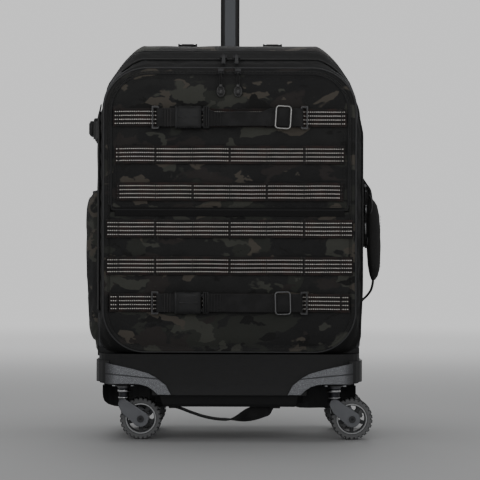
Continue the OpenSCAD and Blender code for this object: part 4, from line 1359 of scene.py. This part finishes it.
def build_webbing(node, strips):
    part = Part("grid_webbing", "light_thread", "black_thread")
    for z, half in strips:
        # the strips behind the clip straps lack the two tacks at x +-102
        has_clip = z in (LOWER_CLIP_Z, UPPER_CLIP_Z)
        tacks = [k for k in TACK_X if not (has_clip and abs(k) == 2 * TACK_PITCH)]
        x = np.unique(np.r_[np.linspace(-half, half, 150),
                            [k + side * step for k in TACK_X for side in (-1, 1)
                             for step in (1.5, 3, 5, 7, 9)]])
        x = x[np.abs(x) <= half]
        sway = 0.5 * np.array([noise_at(a * 0.02, z, 0) for a in x])
        part.sweep(points(x, strip_depth(x, tacks), z + sway), WEB_SECTION, (0, -1, 0))
        web_dashes(part, z, half, tacks, lambda centre: float(np.interp(centre, x, sway)))
        # bar tacks: a dense ladder of thread over the strip
        low_y, high_y = WEB_Y - WEB_THICK + 0.05, WEB_Y - WEB_THICK - 0.22
        for tack in tacks:
            for i in range(22):
                thread_z = z - 11.4 + i * 22.8 / 21
                slant = 1 if i % 2 else -1
                part.tube([(tack - 1.15, low_y, thread_z - 0.25 * slant),
                           (tack - 0.6, high_y, thread_z - 0.1 * slant),
                           (tack + 0.6, high_y, thread_z + 0.1 * slant),
                           (tack + 1.15, low_y, thread_z + 0.25 * slant)],
                          0.36 * np.array([0.6, 1, 1, 0.6]), 5, "black_thread")
    part.build(node + "_tape", "front_lid" if node == "lid_webbing" else "front_flap",
               [node])


for node, strips in WEBBING.items():
    build_webbing(node, strips)

# ================================================================ FRONT CLIP STRAPS
STRAP_HALF = 12.4
# (x, y) stations of the strap right of the buckle and of the tail left of it
STRAP_LONG = [
    (-36, -126.6), (-27, -126.9), (-8, -127.0), (14, -126.8), (36, -126.7), (54, -126.9),
    (68, -126.7), (80, -125.6), (90, -126.4), (95.5, -126.5), (98.6, -125.9), (99.8, -124.5),
    (98.4, -123.0), (94, -122.6), (86, -122.9), (74, -123.2), (64, -123.4)]
STRAP_TAIL = [
    (-66, -126.4), (-75, -126.6), (-84, -126.9), (-92, -126.6), (-96, -126.5), (-98.8, -125.8),
    (-99.8, -124.5), (-98.4, -123.1), (-94, -122.7), (-86, -123.0), (-79, -123.3)]


def tape_section(half, thickness):
    """Tape section with rounded edges and fine ribs on both faces."""
    edge, face = min(0.35, thickness * 0.45), thickness / 2
    top = [(-half, 0.0), (-half + edge * 0.6, face * 0.8), (-half + edge * 2, face)]
    top += [(side, face + (0.06 if i % 2 else -0.04))
            for i, side in enumerate(np.linspace(-half + 2.2, half - 2.2, 9))]
    top += [(half - edge * 2, face), (half - edge * 0.6, face * 0.8), (half, 0.0)]
    return top + [(side, -out) for side, out in top[-2:0:-1]]


def build_clip_strap(side, z, body):
    part = Part("black_webbing", "black_thread", "piping_tape")
    sway = 1 if side == "upper" else -0.6
    path = curve_xy(STRAP_LONG, z, 150)
    path[:, 2] += 0.5 * np.sin(path[:, 0] / 31.0) * sway
    along = tangents(path)
    out = points(along[:, 1], -along[:, 0], 0.0)
    out[:, 2] += 0.05 * sway * bell(path[:, 0], 2, 22.0) * (along[:, 0] > 0.5)
    part.sweep(path, tape_section(STRAP_HALF, 1.45), out)
    tail = curve_xy(STRAP_TAIL, z, 90)
    along = tangents(tail)
    part.sweep(tail, tape_section(STRAP_HALF, 1.45), points(-along[:, 1], along[:, 0], 0.0))
    # keeper band over the doubled tail, and the ribs of the rolled webbing beside the buckle
    for x in (-88.6, -84.9, -81.2):
        part.block((x - 0.9, -128.3, z - 12.9), (x + 0.9, -122.2, z + 12.9), 0.55, 2, "z",
                   "black_thread")
    for x in (-24.5, -20.5, -16.5, -12.5):
        part.block((x - 0.55, -128.75, z - 11.9), (x + 0.55, -126.9, z + 11.9), 0.4, 2, "z")
    # box stitching that closes the loops
    for left, right, y in ((-91.5, -80, -127.35), (66, 57, -127.55)):
        for start, end in (((left, -9.5), (right, -9.5)), ((left, 9.5), (right, 9.5)),
                           ((left, -9.5), (left, 9.5)), ((right, -9.5), (right, 9.5))):
            part.stitches([(start[0], y, z + start[1]), (end[0], y, z + end[1])],
                          2.0, 0.8, 0.26, lift=0.2)
    if side == "upper":
        # pale cord on the top edge as a painted highlight along it, then the strap is drawn
        # narrower and lower there
        keep = (path[:, 0] > -30) & (path[:, 0] < 34) & (np.arange(len(path)) < 90)
        cord = path[keep] + np.array([0, -0.55, 12.25])
        cord[:, 1] -= 0.35 * bell(cord[:, 0], 2, 22.0)
        ends = np.minimum(cord[:, 0] + 30, 34 - cord[:, 0])
        part.tube(cord, 0.48 * np.clip(ends / 14, 0.15, 1), 6, "piping_tape")
        for vertices in part.vertices:
            drawn = band(vertices[:, 0], -18, 42, 15)
            vertices[:, 2] = z + (vertices[:, 2] - z) * (1 - 0.22 * drawn) - 2.2 * drawn
    part.build(side + "_strap_tape", body, [side + "_strap"])


def build_clip_ring(side, z):
    """Welded wire loop that the strap runs through, tilted a little."""
    # the same ring in two metals: the upper ring's brighter metal is a painted highlight, the lower
    # keeps the darker metal
    material, tilt = ("bright_metal", -3.5) if side == "upper" else ("dark_metal", 1.5)
    half_x, half_z, corner_r = 10.2, 15.2, 4.0
    wire = []
    for sign_x, sign_z, start in ((1, 1, 0), (-1, 1, 90), (-1, -1, 180), (1, -1, 270)):
        for turn in np.radians(np.linspace(start, start + 90, 8)):
            wire.append((sign_x * (half_x - corner_r) + corner_r * cos(turn),
                         sign_z * (half_z - corner_r) + corner_r * sin(turn)))
    x, height = np.array(wire).T
    tilt = radians(tilt)
    x, height = x * cos(tilt) - height * sin(tilt), x * sin(tilt) + height * cos(tilt)
    part = Part(material)
    part.tube(points(73.0 + x, -129.9 + 0.03 * x, z + height), 1.1, 12, closed=True)
    part.build(side + "_ring_wire", side + "_ring", [side + "_ring"])


for side, z, body in CLIPS:
    build_clip_strap(side, z, body)
    build_clip_ring(side, z)

# ================================================================ SIDE RELEASE BUCKLES
BUCKLE_LEFT, BUCKLE_RIGHT = -74.8, -38.4
# socket sections, waisted in the middle: x, half height, front y, back y
SOCKET_SECTIONS = (
    (BUCKLE_LEFT, 11.4, -126.6, -123.2), (BUCKLE_LEFT + 0.6, 13.0, -128.0, -122.2),
    (BUCKLE_LEFT + 2.5, 14.6, -128.9, -121.7), (BUCKLE_LEFT + 7, 15.6, -129.5, -121.5),
    (BUCKLE_LEFT + 13, 15.2, -130.0, -121.5), (BUCKLE_LEFT + 19, 14.7, -130.2, -121.5),
    (BUCKLE_LEFT + 25, 15.1, -130.1, -121.5), (BUCKLE_LEFT + 31, 15.8, -129.7, -121.5),
    (BUCKLE_RIGHT - 2.5, 15.6, -129.2, -121.7), (BUCKLE_RIGHT - 0.6, 14.8, -128.4, -122.2),
    (BUCKLE_RIGHT, 13.6, -127.4, -123.0))


def build_front_buckle(side, z, body):
    left, right = BUCKLE_LEFT, BUCKLE_RIGHT
    part = Part("buckle_plastic", "black_thread")
    cosine, sine = superellipse(40, 0.42, 0.42)
    part.rings([points(x, (front + back) / 2 + (back - front) / 2 * sine, z + half * cosine)
                for x, half, front, back in SOCKET_SECTIONS])
    # raised spine, side grips, strap bars and tongue with ribs
    part.block((left + 5.5, -129.9, z - 1.1), (right - 5, -129.2, z + 1.1), 0.3, 2, "y")
    for sign in (-1, 1):
        for k in range(5):
            x, grip_z = left + 12 + k * 3.4, z + sign * 14.6
            part.block((x, -129.4, grip_z - 0.9), (x + 1.4, -124, grip_z + 0.9), 0.5, 2, "y")
        arm_z = z + sign * 10.2
        part.block((right - 0.5, -127.9, arm_z - 2.4), (right + 3.5, -123.6, arm_z + 2.4),
                   0.9, 3, "x")
    part.block((left - 0.5, -128.7, z - 15.2), (left + 2.6, -122.6, z + 15.2), 1.1, 3, "z")
    for k in range(3):
        x = right + 3.0 + 3.0 * k
        part.block((x - 1.0, -129.3 + 0.25 * k, z - 15.0), (x + 1.0, -123.0, z + 15.0),
                   0.8, 3, "z")
    for rail_z in (z - 14, z + 14):
        part.block((right + 2, -128.2, rail_z - 1.3), (right + 10, -123.2, rail_z + 1.3),
                   0.9, 3, "x")
    part.build(side + "_buckle_moulding", body, [side + "_buckle"])


for side, z, body in CLIPS:
    build_front_buckle(side, z, body)

# ================================================================ SIDE POCKET (left)
# how far the pocket stands off the shell: (z, stand-off)
POCKET_BELLY = np.array([
    (111.5, -2.2), (114.5, 2.4), (120, 4.6), (130, 6.6), (136, 9.6), (142, 12.4), (152, 14.8),
    (190, 17.4), (290, 19.2), (322, 18.4), (333, 15.6), (340, 12.2), (343, 10.6)])


def build_side_pocket():
    y = np.linspace(-47, 61, 46)
    z = np.r_[np.linspace(111.5, 150, 13), np.linspace(150, 325, 34)[1:],
              np.linspace(325, 343, 8)[1:]]
    belly = np.interp(z, *POCKET_BELLY.T)
    across = (1 - np.abs((y - 7) / 54) ** 4.5) ** 0.75
    grid = points(-185.2 - belly[:, None] * across[None, :], y[None, :], z[:, None])
    pin = np.zeros(grid.shape[:2])
    pin[0] = 1
    pin[:, 0] = 1
    pin[:, -1] = 1
    pin[-1] = 0.75
    pin[-2] = 0.4
    grid = cloth(grid[:, ::-1], pin[:, ::-1], 2.2, pressure=3.5, slack=0.03, bend=0.3)[:, ::-1]
    free_z = ramp(z, 116, 150)[:, None]
    free_y = (ramp(y, -46, -34) * (1 - ramp(y, 48, 60)))[None, :]
    grid[..., 0] += (wrinkle(grid, 1.6, 0.03, seed=44.0, stretch=(1, 1, 0.6))
                     + wrinkle(grid, 0.8, 0.09, seed=51.0, stretch=(1, 1, 0.5))) * free_z * free_y
    # gathers under the top edge
    grid[..., 0] -= 0.9 * np.sin(y / 2.4)[None, :] * ramp(z, 318, 341)[:, None] * free_y
    grid[..., 0] = np.maximum(grid[..., 0], -207.5)
    vertices, faces, tags = sheet(grid[:, ::-1], 1.8)
    build_mesh("side_pocket_fabric", vertices, faces, "case", ["camo_cloth", "grey_lining"],
               np.where(tags == 1, 1, 0), ["side_pocket"])

    part = Part("dark_binding", "black_thread")
    part.tube(grid[-1] + np.array([0.6, 0, 0.4]), 1.9, 10, up=(0, 0, 1))
    for column in (0, -1):
        part.tube(grid[:, column] + np.array([-0.3, 0, 0]), 1.3, 8, up=(-1, 0, 0.02))
    part.tube(grid[0] + np.array([-0.3, 0, 0.3]), 1.3, 8, up=(0, 0, 1))
    part.stitches(grid[-4][2:-2] + np.array([-0.1, 0, 0]), 3.0, 1.3, 0.28,
                  up=(-1, 0.01, 0.02), lift=0.2)
    part.build("side_pocket_binding", "case")


build_side_pocket()

# ================================================================ SIDE STRAP AND BUCKLE (left)
SIDE_STRAP_Z = 432.0
# (x, y) stations of the front and rear halves
SIDE_STRAP_HALVES = (
    [(-184.9, -68), (-185.6, -64), (-186.2, -55), (-187.2, -44), (-190.5, -33), (-194.2, -25),
     (-195.6, -18)],
    [(-195.4, 17), (-194.8, 25), (-191.6, 33), (-188.0, 44), (-186.6, 58), (-186.0, 78),
     (-185.4, 92), (-184.2, 97)])

part = Part("black_webbing_side", "black_thread")
for stations in SIDE_STRAP_HALVES:
    path = curve_xy(stations, SIDE_STRAP_Z, 60)
    along = tangents(path)
    part.sweep(path, tape_section(STRAP_HALF, 1.5), points(-along[:, 1], along[:, 0], 0.0))
for x, y in ((-186.5, -61), (-186.3, 88)):
    for i in range(20):
        z = SIDE_STRAP_Z - 10.5 + i * 21 / 19
        slant = 0.2 if i % 2 else -0.2
        part.tube([(x + 0.1, y - 1.5, z - slant), (x - 0.35, y - 0.7, z),
                   (x - 0.35, y + 0.7, z), (x + 0.1, y + 1.5, z + slant)],
                  0.36 * np.array([0.6, 1, 1, 0.6]), 5, "black_thread", up=(-1, 0, 0.01))
part.build("side_strap_tape", "case", ["side_strap"])


def side_moulding(part, y_range, outer_x, inner_x, z_range, power, taper):
    """Domed moulding lofted along Y, out to outer_x from inner_x."""
    cosine, sine = superellipse(36, power, power)
    centre_z, half_z = sum(z_range) / 2, (z_range[1] - z_range[0]) / 2
    rows = []
    for t in np.linspace(0, 1, 14):
        inside = 0 < t < 1
        swell = (1 - abs(2 * t - 1) ** 5) ** 0.5 * (1 - taper) + taper if inside else taper * 0.9
        rows.append(points(inner_x + (outer_x - inner_x) / 2 * swell * (1 + sine),
                           y_range[0] + (y_range[1] - y_range[0]) * t,
                           centre_z + half_z * (1 if inside else 0.93) * cosine))
    part.rings(rows)


part = Part("buckle_plastic")
side_moulding(part, (-19, 4), -202.4, -194.6, (424.5, 446.5), power=0.55, taper=0.8)
side_moulding(part, (-21.5, 14), -196.4, -188.6, (421.5, 450.5), power=0.5, taper=0.85)
side_moulding(part, (13, 24), -197.4, -190.2, (419.5, 447.0), power=0.45, taper=0.8)
part.block((-192.6, -14, 414.5), (-187.4, 8, 424.5), 1.8, 3, "y")
for k in range(4):
    part.block((-203.0, -14.5 + 4 * k, 427.5), (-201.6, -12.9 + 4 * k, 443.5), 0.5, 2, "z")
part.build("side_buckle_moulding", "case", ["side_buckle"])

# ================================================================ TOP HANDLE
part = Part("black_cloth", "black_webbing", "black_thread")
cosine, sine = superellipse(28, 0.75, 0.8)
rows = []
for x in np.linspace(-75, 75, 64):
    full = 1 - ramp(abs(x), 62, 75)
    puff = 0.35 * noise_at(x * 0.06, 3, 0)
    rows.append(points(x, 54.0 + (6.5 + 4.0 * full) * cosine,
                       558.6 + 0.2 * (1 - full) + (1.3 + 1.5 * full + puff * (sine > 0)) * sine))
part.rings(rows)
# end loops: stations on the right, mirrored to the left
TOP_LOOP = [(70, 53, 558.9), (68, 44, 559.2), (64, 34, 559.8), (62, 26, 561.0), (62, 21, 562.5),
            (62, 17.9, 561.4), (62, 17.7, 559.6), (62, 20, 558.4), (62.6, 28, 558.1),
            (64, 36, 558.0)]
for sign in (-1, 1):
    path = curve([(sign * x, y, z) for x, y, z in TOP_LOOP], 70)
    along = tangents(path)
    part.sweep(path, tape_section(9.0, 1.0), points(0.0, -along[:, 2], along[:, 1]),
               "black_webbing")
    part.stitches([(sign * 60, 41, 560.0), (sign * 71, 41, 560.0)], 2.2, 0.9, 0.26,
                  up=(0.013, 0.01, 1))
for y in (47.2, 60.8):
    part.stitches([(-66, y, 560.4), (66, y, 560.4)], 3.0, 1.3, 0.28, up=(0.013, 0.01, 1),
                  lift=0.1)
part.build("top_handle_grip", "top_handle", ["top_handle"])

# ================================================================ SIDE HANDLE (right)
SHELL_SWELL = 2.6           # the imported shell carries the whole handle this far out
PAD_BOTTOM, PAD_TOP = 218.5, 336.0

part = Part("handle_pad_cloth", "black_webbing", "black_thread", "dark_metal", "hook_metal")
cosine, sine = superellipse(36, 0.7, 0.75)
rows = []
for z in np.linspace(PAD_BOTTOM, PAD_TOP, 60):
    half_y = (4.5 + 9.5 * ramp(z, PAD_BOTTOM, PAD_BOTTOM + 20)
              * (1 - 0.35 * ramp(z, PAD_TOP - 14, PAD_TOP)))
    outer = np.interp(z, [218.5, 224, 234, 250, 290, 312, 326, 333, 336],
                      [208.5, 212.5, 215.2, 216.2, 216.0, 214.2, 211.0, 207.0, 204.0])
    inner = np.interp(z, [218.5, 226, 240, 262, 300, 322, 336],
                      [203.0, 200.5, 198.0, 196.4, 195.8, 195.6, 196.5])
    crease = 0.5 * noise_at(0, 1.3, z * 0.07)
    half_x = (outer - inner) / 2 + crease * (cosine > 0)
    rows.append(points((outer + inner) / 2 + half_x * cosine, half_y * sine, z))
part.rings(rows)
for y in (-9.5, 9.5):
    part.stitches([(214.6, y, z) for z in np.linspace(236, 312, 20)], 3.0, 1.3, 0.28,
                  up=(1, 0.01, 0.013), lift=0.3)
# wire at the pad's upper front
part.tube(curve([(199.0, -11.5, 341), (201.5, -12.6, 336), (202.6, -13.4, 327),
                 (201.8, -13.6, 318), (199.6, -13.2, 314)], 30), 1.15, 8, "hook_metal")
part.shift_x(SHELL_SWELL)
part.build("side_handle_grip", "side_handle", ["side_handle"])

# tabs sewn to the shell at one edge and to the pad at the other, twisting as the handle swings:
# (x, z) stations, half width, thickness
HANDLE_TABS = (
    ([(206, 226), (205.2, 214), (202.6, 204), (197.5, 196.5), (191.5, 190.5), (187.6, 186.8)],
     6.5, 2.6),
    ([(204.2, 328), (202.0, 337), (201.0, 344), (199.0, 350), (194.2, 357.0), (189.0, 365.0),
      (185.6, 371.5)], 9.5, 3.6))

part = Part("handle_pad_cloth", "black_webbing", "black_thread", "dark_metal", "slider_metal")
for stations, half, thickness in HANDLE_TABS:
    path = curve([(x, 0, z) for x, z in stations], 60)
    along = tangents(path)
    out = points(along[:, 2], 0.0, -along[:, 0])
    out *= np.sign(out[:, :1] + 1e-9)
    part.sweep(path, tape_section(half, thickness), out, "black_webbing")
cosine, sine = superellipse(40, 0.45, 0.5)
inner = 185.2
rows = []
for z in np.r_[np.linspace(264, 272, 6), np.linspace(278, 356, 22), np.linspace(360, 369.5, 6)]:
    outer = np.interp(z, [264, 266, 272, 300, 336, 350, 360, 366, 369.5],
                      [189, 192, 197.5, 198.0, 200.5, 198.5, 192.6, 188.6, 186.6])
    half_y = (np.interp(z, [264, 270, 330, 362, 369.5], [5.5, 7.5, 8.0, 8.0, 7.0])
              + 0.35 * noise_at(3.1, 0.2, z * 0.09))
    rows.append(points((outer + inner) / 2 + (outer - inner) / 2 * cosine, half_y * sine, z))
part.rings(rows)
for x in (190.5, 196.0):
    part.stitches([(x, -8.1, z) for z in np.linspace(278, 346, 12)], 2.8, 1.2, 0.26,
                  up=(0.011, -1, 0.013), lift=0.1)
# small metal pieces hanging in front of the tabs
part.ball((192.4, -10.4, 354.0), 2.9, "dark_metal")
part.tube(curve([(192.6, -10.6, 351.5), (193.4, -11.0, 347.5), (192.8, -11.0, 343),
                 (193.6, -11.0, 338), (193.4, -11.2, 331)], 20), 1.0, 8, "slider_metal")
part.ball((193.2, -11.0, 346.6), 1.9, "dark_metal", squash=(1, 1, 0.8))
part.lathe(193.6, -11.6, ((327, 1.2), (326.6, 2.6), (325.2, 2.9), (324.6, 2.1), (323.8, 2.1),
                          (323.4, 2.5), (316.6, 2.5), (316, 2.1), (314.6, 2.1), (314.2, 1.0)),
           18, "dark_metal")
part.tube(curve([(193.4, -11.2, 314.5), (193.2, -10.6, 308), (193.8, -10.2, 302)], 14),
          0.9, 8, "slider_metal")
part.block((192.2, -12.0, 284.5), (194.8, -9.8, 301.0), 0.8, 3, "z", "dark_metal")
part.block((195.2, -12.0, 268.0), (197.4, -9.8, 280.5), 0.8, 3, "z", "slider_metal")
part.ball((194.2, -10.2, 266.5), 2.4, "slider_metal", squash=(1, 0.8, 0.9))
part.tube(curve([(193.5, -10.6, 284), (194.4, -10.4, 275), (194.4, -10.4, 268)], 14),
          0.8, 8, "slider_metal")
part.shift_x(SHELL_SWELL)
tabs = part.build("side_handle_tabs", None)
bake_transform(tabs)

# fabric patches the handle's two ends are sewn to: centre z, half height, shift out
part = Part("black_cloth", "black_thread")
for z, half, shift in ((367.0, 13.0, 2.5), (184.0, 12.0, 1.8)):
    part.block((183.6 + shift, -13, z - half), (187.0 + shift, 13, z + half), 1.6, 4, "x")
    for y in (-10, 10):
        part.stitches([(187.0 + shift, y, z - half + 3), (187.0 + shift, y, z + half - 3)],
                      2.4, 1.0, 0.26, up=(1, 0.01, 0.013), lift=0.1)
part.build("side_handle_patches", "case")

# ================================================================ BOTTOM HANDLE
path = curve([(-80, -83, 42.2), (-74, -83, 41.4), (-66, -83, 39.0), (-52, -83, 33.6),
              (-36, -83, 28.4), (-18, -83.4, 25.0), (0, -84, 24.2), (14, -84.4, 26.4),
              (28, -84.6, 31.0), (42, -84.2, 35.6), (54, -83.4, 39.6), (62, -83, 41.8),
              (68, -83, 42.4)], 130)
twist = np.radians(72) * ramp(path[:, 0], -6, 40) * (1 - ramp(path[:, 0], 50, 66))
part = Part("black_webbing", "black_thread")
part.sweep(path, tape_section(10.8, 2.2), points(0.0, -np.sin(twist), -np.cos(twist)))
for x in (-77, 64):
    part.block((x - 7, -95, 40.6), (x + 7, -71, 43.4), 1.0, 3, "z")
    for row in (-4.6, 4.6):
        part.stitches([(x + row, -92, 40.5), (x + row, -74, 40.5)], 2.2, 0.9, 0.28,
                      up=(0.013, 0.01, -1), lift=0.1)
part.build("bottom_handle_band", "case", ["bottom_handle"])


# ================================================================ FABRIC HINGES
def build_hinge(name, grid, thickness):
    vertices, faces, _ = sheet(grid, thickness)
    strip = build_mesh(name, vertices, faces, None, ["black_cloth"])
    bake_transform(strip)


y, z = np.linspace(-79, -100, 15)[None, :], np.linspace(176, 462, 80)[:, None]
x = -(np.interp(y, [-100, -91, -88, -79], [179.9, 182.4, 183.2, 183.6])
      + 0.35 * np.cos(z / 9.0) * bell(y, -89.5, 4.0))
build_hinge("lid_hinge_cloth", packed(points(x, y, z))[:, ::-1], 1.2)
x, z = np.linspace(-158, 158, 90)[None, :], np.linspace(306.5, 318.5, 13)[:, None]
y = -(118.55 + 0.35 * bell(z, 312.5, 2.5) + 0.12 * np.sin(x / 5.0))
build_hinge("pocket_hinge_cloth", points(x, y, z), 0.8)

# ================================================================ ZIP PULLS
PULL_Z, PULL_HALF_X, PULL_HALF_Z = 477.3, 6.0, 7.8
# dished and domed oval: (scale, y)
PULL_PROFILE = (
    (0.84, -122.7), (0.84, -123.9), (0.80, -124.2), (0.72, -124.15), (0.66, -124.5),
    (0.55, -125.0), (0.38, -125.4), (0.2, -125.6), (0.05, -125.65))


def build_pull(side, x):
    part = Part("pull_rubber", "black_webbing", "bright_metal")
    cosine, sine = np.cos(angles(48)), np.sin(angles(48))
    part.tube(points(x + (PULL_HALF_X - 0.9) * cosine, -123.9,
                     PULL_Z + (PULL_HALF_Z - 0.9) * sine), 0.95, 8, closed=True)
    part.rings([points(x + PULL_HALF_X * scale * cosine, y, PULL_Z + PULL_HALF_Z * scale * sine)
                for scale, y in PULL_PROFILE])
    for sign in (-1, 1):
        cord = [(x + sign * 1.4, -124.0, 485.2), (x + sign * 1.5, -124.2, 490),
                (x + sign * 1.3, -124.3, 496), (x + sign * 1.0, -124.4, 501),
                (x + sign * 0.8, -123.9, 503.6)]
        part.tube(curve(cord, 24), 0.75, 8, "black_webbing")
    part.block((x - 2.3, -125.2, 483.2), (x + 2.3, -122.9, 487.2), 0.7, 3, "z")
    turn = angles(20)
    part.tube(points(x + 2.0 * np.cos(turn), -123.7 + 1.6 * np.sin(turn), 502.4), 0.5, 6,
              closed=True, up=(0, 0, 1))
    part.build(f"pull_{side}_oval", "pull_tab_" + side, ["pull_tab_" + side])


build_pull("left", -12.6)
build_pull("right", 11.0)

# ================================================================ CASTER COLLARS
for caster in CASTERS:
    low, high = node_box("fork_" + caster)
    x, y = low[0] + 8.8, (low[1] + high[1]) / 2
    part = Part("fork_bright")
    for drop, radius, height in ((5.8, 9.0, 3.4), (15.3, 8.45, 2.0)):
        half, z = height / 2, high[2] - drop
        section = [(radius - 2.2, 0.1 - half), (radius - 0.5, -half), (radius, 0.5 - half),
                   (radius, half - 0.5), (radius - 0.5, half), (radius - 2.2, half - 0.1)]
        part.rings([[(x + r * cos(t), y + r * sin(t), z + rise) for r, rise in section]
                    for t in angles(48)], closed=True)
    part.build("fork_collar_" + caster, "fork_" + caster)


# ================================================================ CAD NODES THAT STAY
def paint(node, material):
    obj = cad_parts[node]
    if not obj.material_slots:
        obj.data.materials.append(MATERIALS[material])
    for material_slot in obj.material_slots:
        material_slot.material = MATERIALS[material]


NODE_MATERIALS = {
    "base_plastic": ["base_tray"],
    "guard_black": ["corner_guards", "caster_mounts"],
    "guard_grey": ["guard_inserts"],
    "dark_metal": ["swivel_pins"],
    "zinc_steel": ["base_screws", "push_rod", "lock_pin"],
    "board_plastic": ["frame_board", "frame_hoop"],
    "tube_aluminium": ["handle_outer_tube"],
    "grip_plastic": ["handle_bezel", "handle_foot", "handle_grip"],
    "post_metal": ["handle_mid_tube", "handle_inner_tube"],
    "button_plastic": ["grip_button"],
    "hook_metal": ["lower_hooks", "upper_hooks"],
    "slider_metal": ["main_slider_left", "main_slider_right", "pocket_slider_left",
                     "pocket_slider_right"],
    "anchor_metal": ["handle_anchors"]}
for material, nodes in NODE_MATERIALS.items():
    for node in nodes:
        paint(node, material)
for caster in CASTERS:
    low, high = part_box("tyre_" + caster)
    centre = [(a + b) / 2 for a, b in zip(low, high)]
    tyre_rubber("tyre_" + caster, centre)
    hub_plastic("hub_" + caster, centre)
    paint("fork_" + caster, "fork_metal")
    paint("axle_" + caster, "axle_black")
    paint("hub_" + caster, "hub_" + caster)
    paint("tyre_" + caster, "tyre_" + caster)

# ================================================================ STAGE, LIGHT, CAMERA (m)
SURROUND = (0.89, 0.89, 0.89)


def floor_paint():
    """Pale floor with a painted shadow round the case, a little deeper there, that fades into the
    plain surround.
    """
    mat = Material("floor_paint")
    x, y, z = mat.xyz()
    radius = mat.hypotenuse(x, y)
    # painted shadow: darker within about 0.15 to 0.55 m of the case, lighter beyond
    shade = mat.mix(mat.noise(scale=3), (0.390, 0.390, 0.390), (0.415, 0.415, 0.415))
    shade = mat.mix(mat.step(radius, low=0.15, high=0.55), shade, (0.455, 0.455, 0.455))
    shade = mat.mix(mat.step(radius, low=0.60, high=2.6), shade, (0.80, 0.80, 0.80))
    mat.finish(color=shade, roughness=0.8, specular=0.15)
    glow = mat.node("Emission")
    mat.put(glow.inputs[0], SURROUND)
    glow.inputs[1].default_value = 1.0
    fade = mat.node("MixShader")
    mat.link(mat.step(radius, low=1.2, high=4.2), fade.inputs[0])
    mat.link(mat.shader.outputs[0], fade.inputs[1])
    mat.link(glow.outputs[0], fade.inputs[2])
    mat.link(fade.outputs[0], mat.output.inputs[0])
    return mat.material


def build_floor():
    """Flat disc of rings round a centre point."""
    radii, sides = (0.5, 1.0, 2.0, 4.0, 8.0, 30.0), 96
    vertices = [(0.0, 0.0, 0.0)]
    for radius in radii:
        vertices += [(radius * cos(t), radius * sin(t), 0.0) for t in angles(sides)]
    faces = [(0, 1 + j, 1 + (j + 1) % sides) for j in range(sides)]
    for ring in range(len(radii) - 1):
        a, b = 1 + ring * sides, 1 + (ring + 1) * sides
        for j in range(sides):
            k = (j + 1) % sides
            faces.append((a + j, b + j, b + k, a + k))
    mesh = bpy.data.meshes.new("backdrop")
    mesh.from_pydata(vertices, [], faces)
    mesh.materials.append(floor_paint())
    floor = bpy.data.objects.new("backdrop", mesh)
    scene.collection.objects.link(floor)


def build_world():
    """Soft ambient light; the camera itself sees the plain surround."""
    world = bpy.data.worlds.new("soft")
    scene.world = world
    world.use_nodes = True
    nodes, links = world.node_tree.nodes, world.node_tree.links
    ambient = nodes["Background"]
    ambient.inputs["Color"].default_value = (0.93, 0.94, 0.95, 1)
    ambient.inputs["Strength"].default_value = 0.42
    seen = nodes.new("ShaderNodeBackground")
    seen.inputs["Color"].default_value = (*SURROUND, 1)
    seen.inputs["Strength"].default_value = 1.0
    light_path = nodes.new("ShaderNodeLightPath")
    mix = nodes.new("ShaderNodeMixShader")
    links.new(light_path.outputs["Is Camera Ray"], mix.inputs[0])
    links.new(ambient.outputs[0], mix.inputs[1])
    links.new(seen.outputs[0], mix.inputs[2])
    links.new(mix.outputs[0], nodes["World Output"].inputs[0])


def area_light(name, location, target, width, height, power):
    light = bpy.data.lights.new(name, "AREA")
    light.shape = "RECTANGLE"
    light.size, light.size_y = width, height
    light.energy = power
    obj = bpy.data.objects.new(name, light)
    obj.location = location
    obj.rotation_mode = "QUATERNION"
    obj.rotation_quaternion = (Vector(target) - Vector(location)).to_track_quat("-Z", "Y")
    scene.collection.objects.link(obj)


def build_camera():
    """Long lens square to the front, with a slight roll."""
    data = bpy.data.cameras.new("camera")
    data.sensor_width = 36
    data.lens = 114.675
    data.shift_x = 0.021875
    data.shift_y = 0.0520833
    data.clip_start, data.clip_end = 0.05, 60
    camera = bpy.data.objects.new("camera", data)
    front_y, distance, height = -118, 2100, 239.6
    camera.location = Vector(to_frame((0, front_y - distance, height)))
    camera.rotation_euler = (pi / 2, radians(-0.15), 0)
    scene.collection.objects.link(camera)
    scene.camera = camera


build_floor()
build_world()
area_light("key_top", (0.0, 0.15, 2.5), (0, 0.0, 0.25), width=2.6, height=1.4, power=10.8)
area_light("left_soft", (-2.1, -1.9, 1.2), (0, 0, 0.4), width=1.2, height=1.8, power=4.2)
area_light("right_soft", (2.1, -1.9, 1.2), (0, 0, 0.4), width=1.2, height=1.8, power=3.4)
area_light("front_soft", (0.0, -3.6, 1.1), (0, 0, 0.25), width=1.8, height=1.2, power=15.8)
area_light("back_soft", (0.0, 2.6, 1.5), (0, 0, 0.4), width=1.6, height=1.2, power=15)
build_camera()
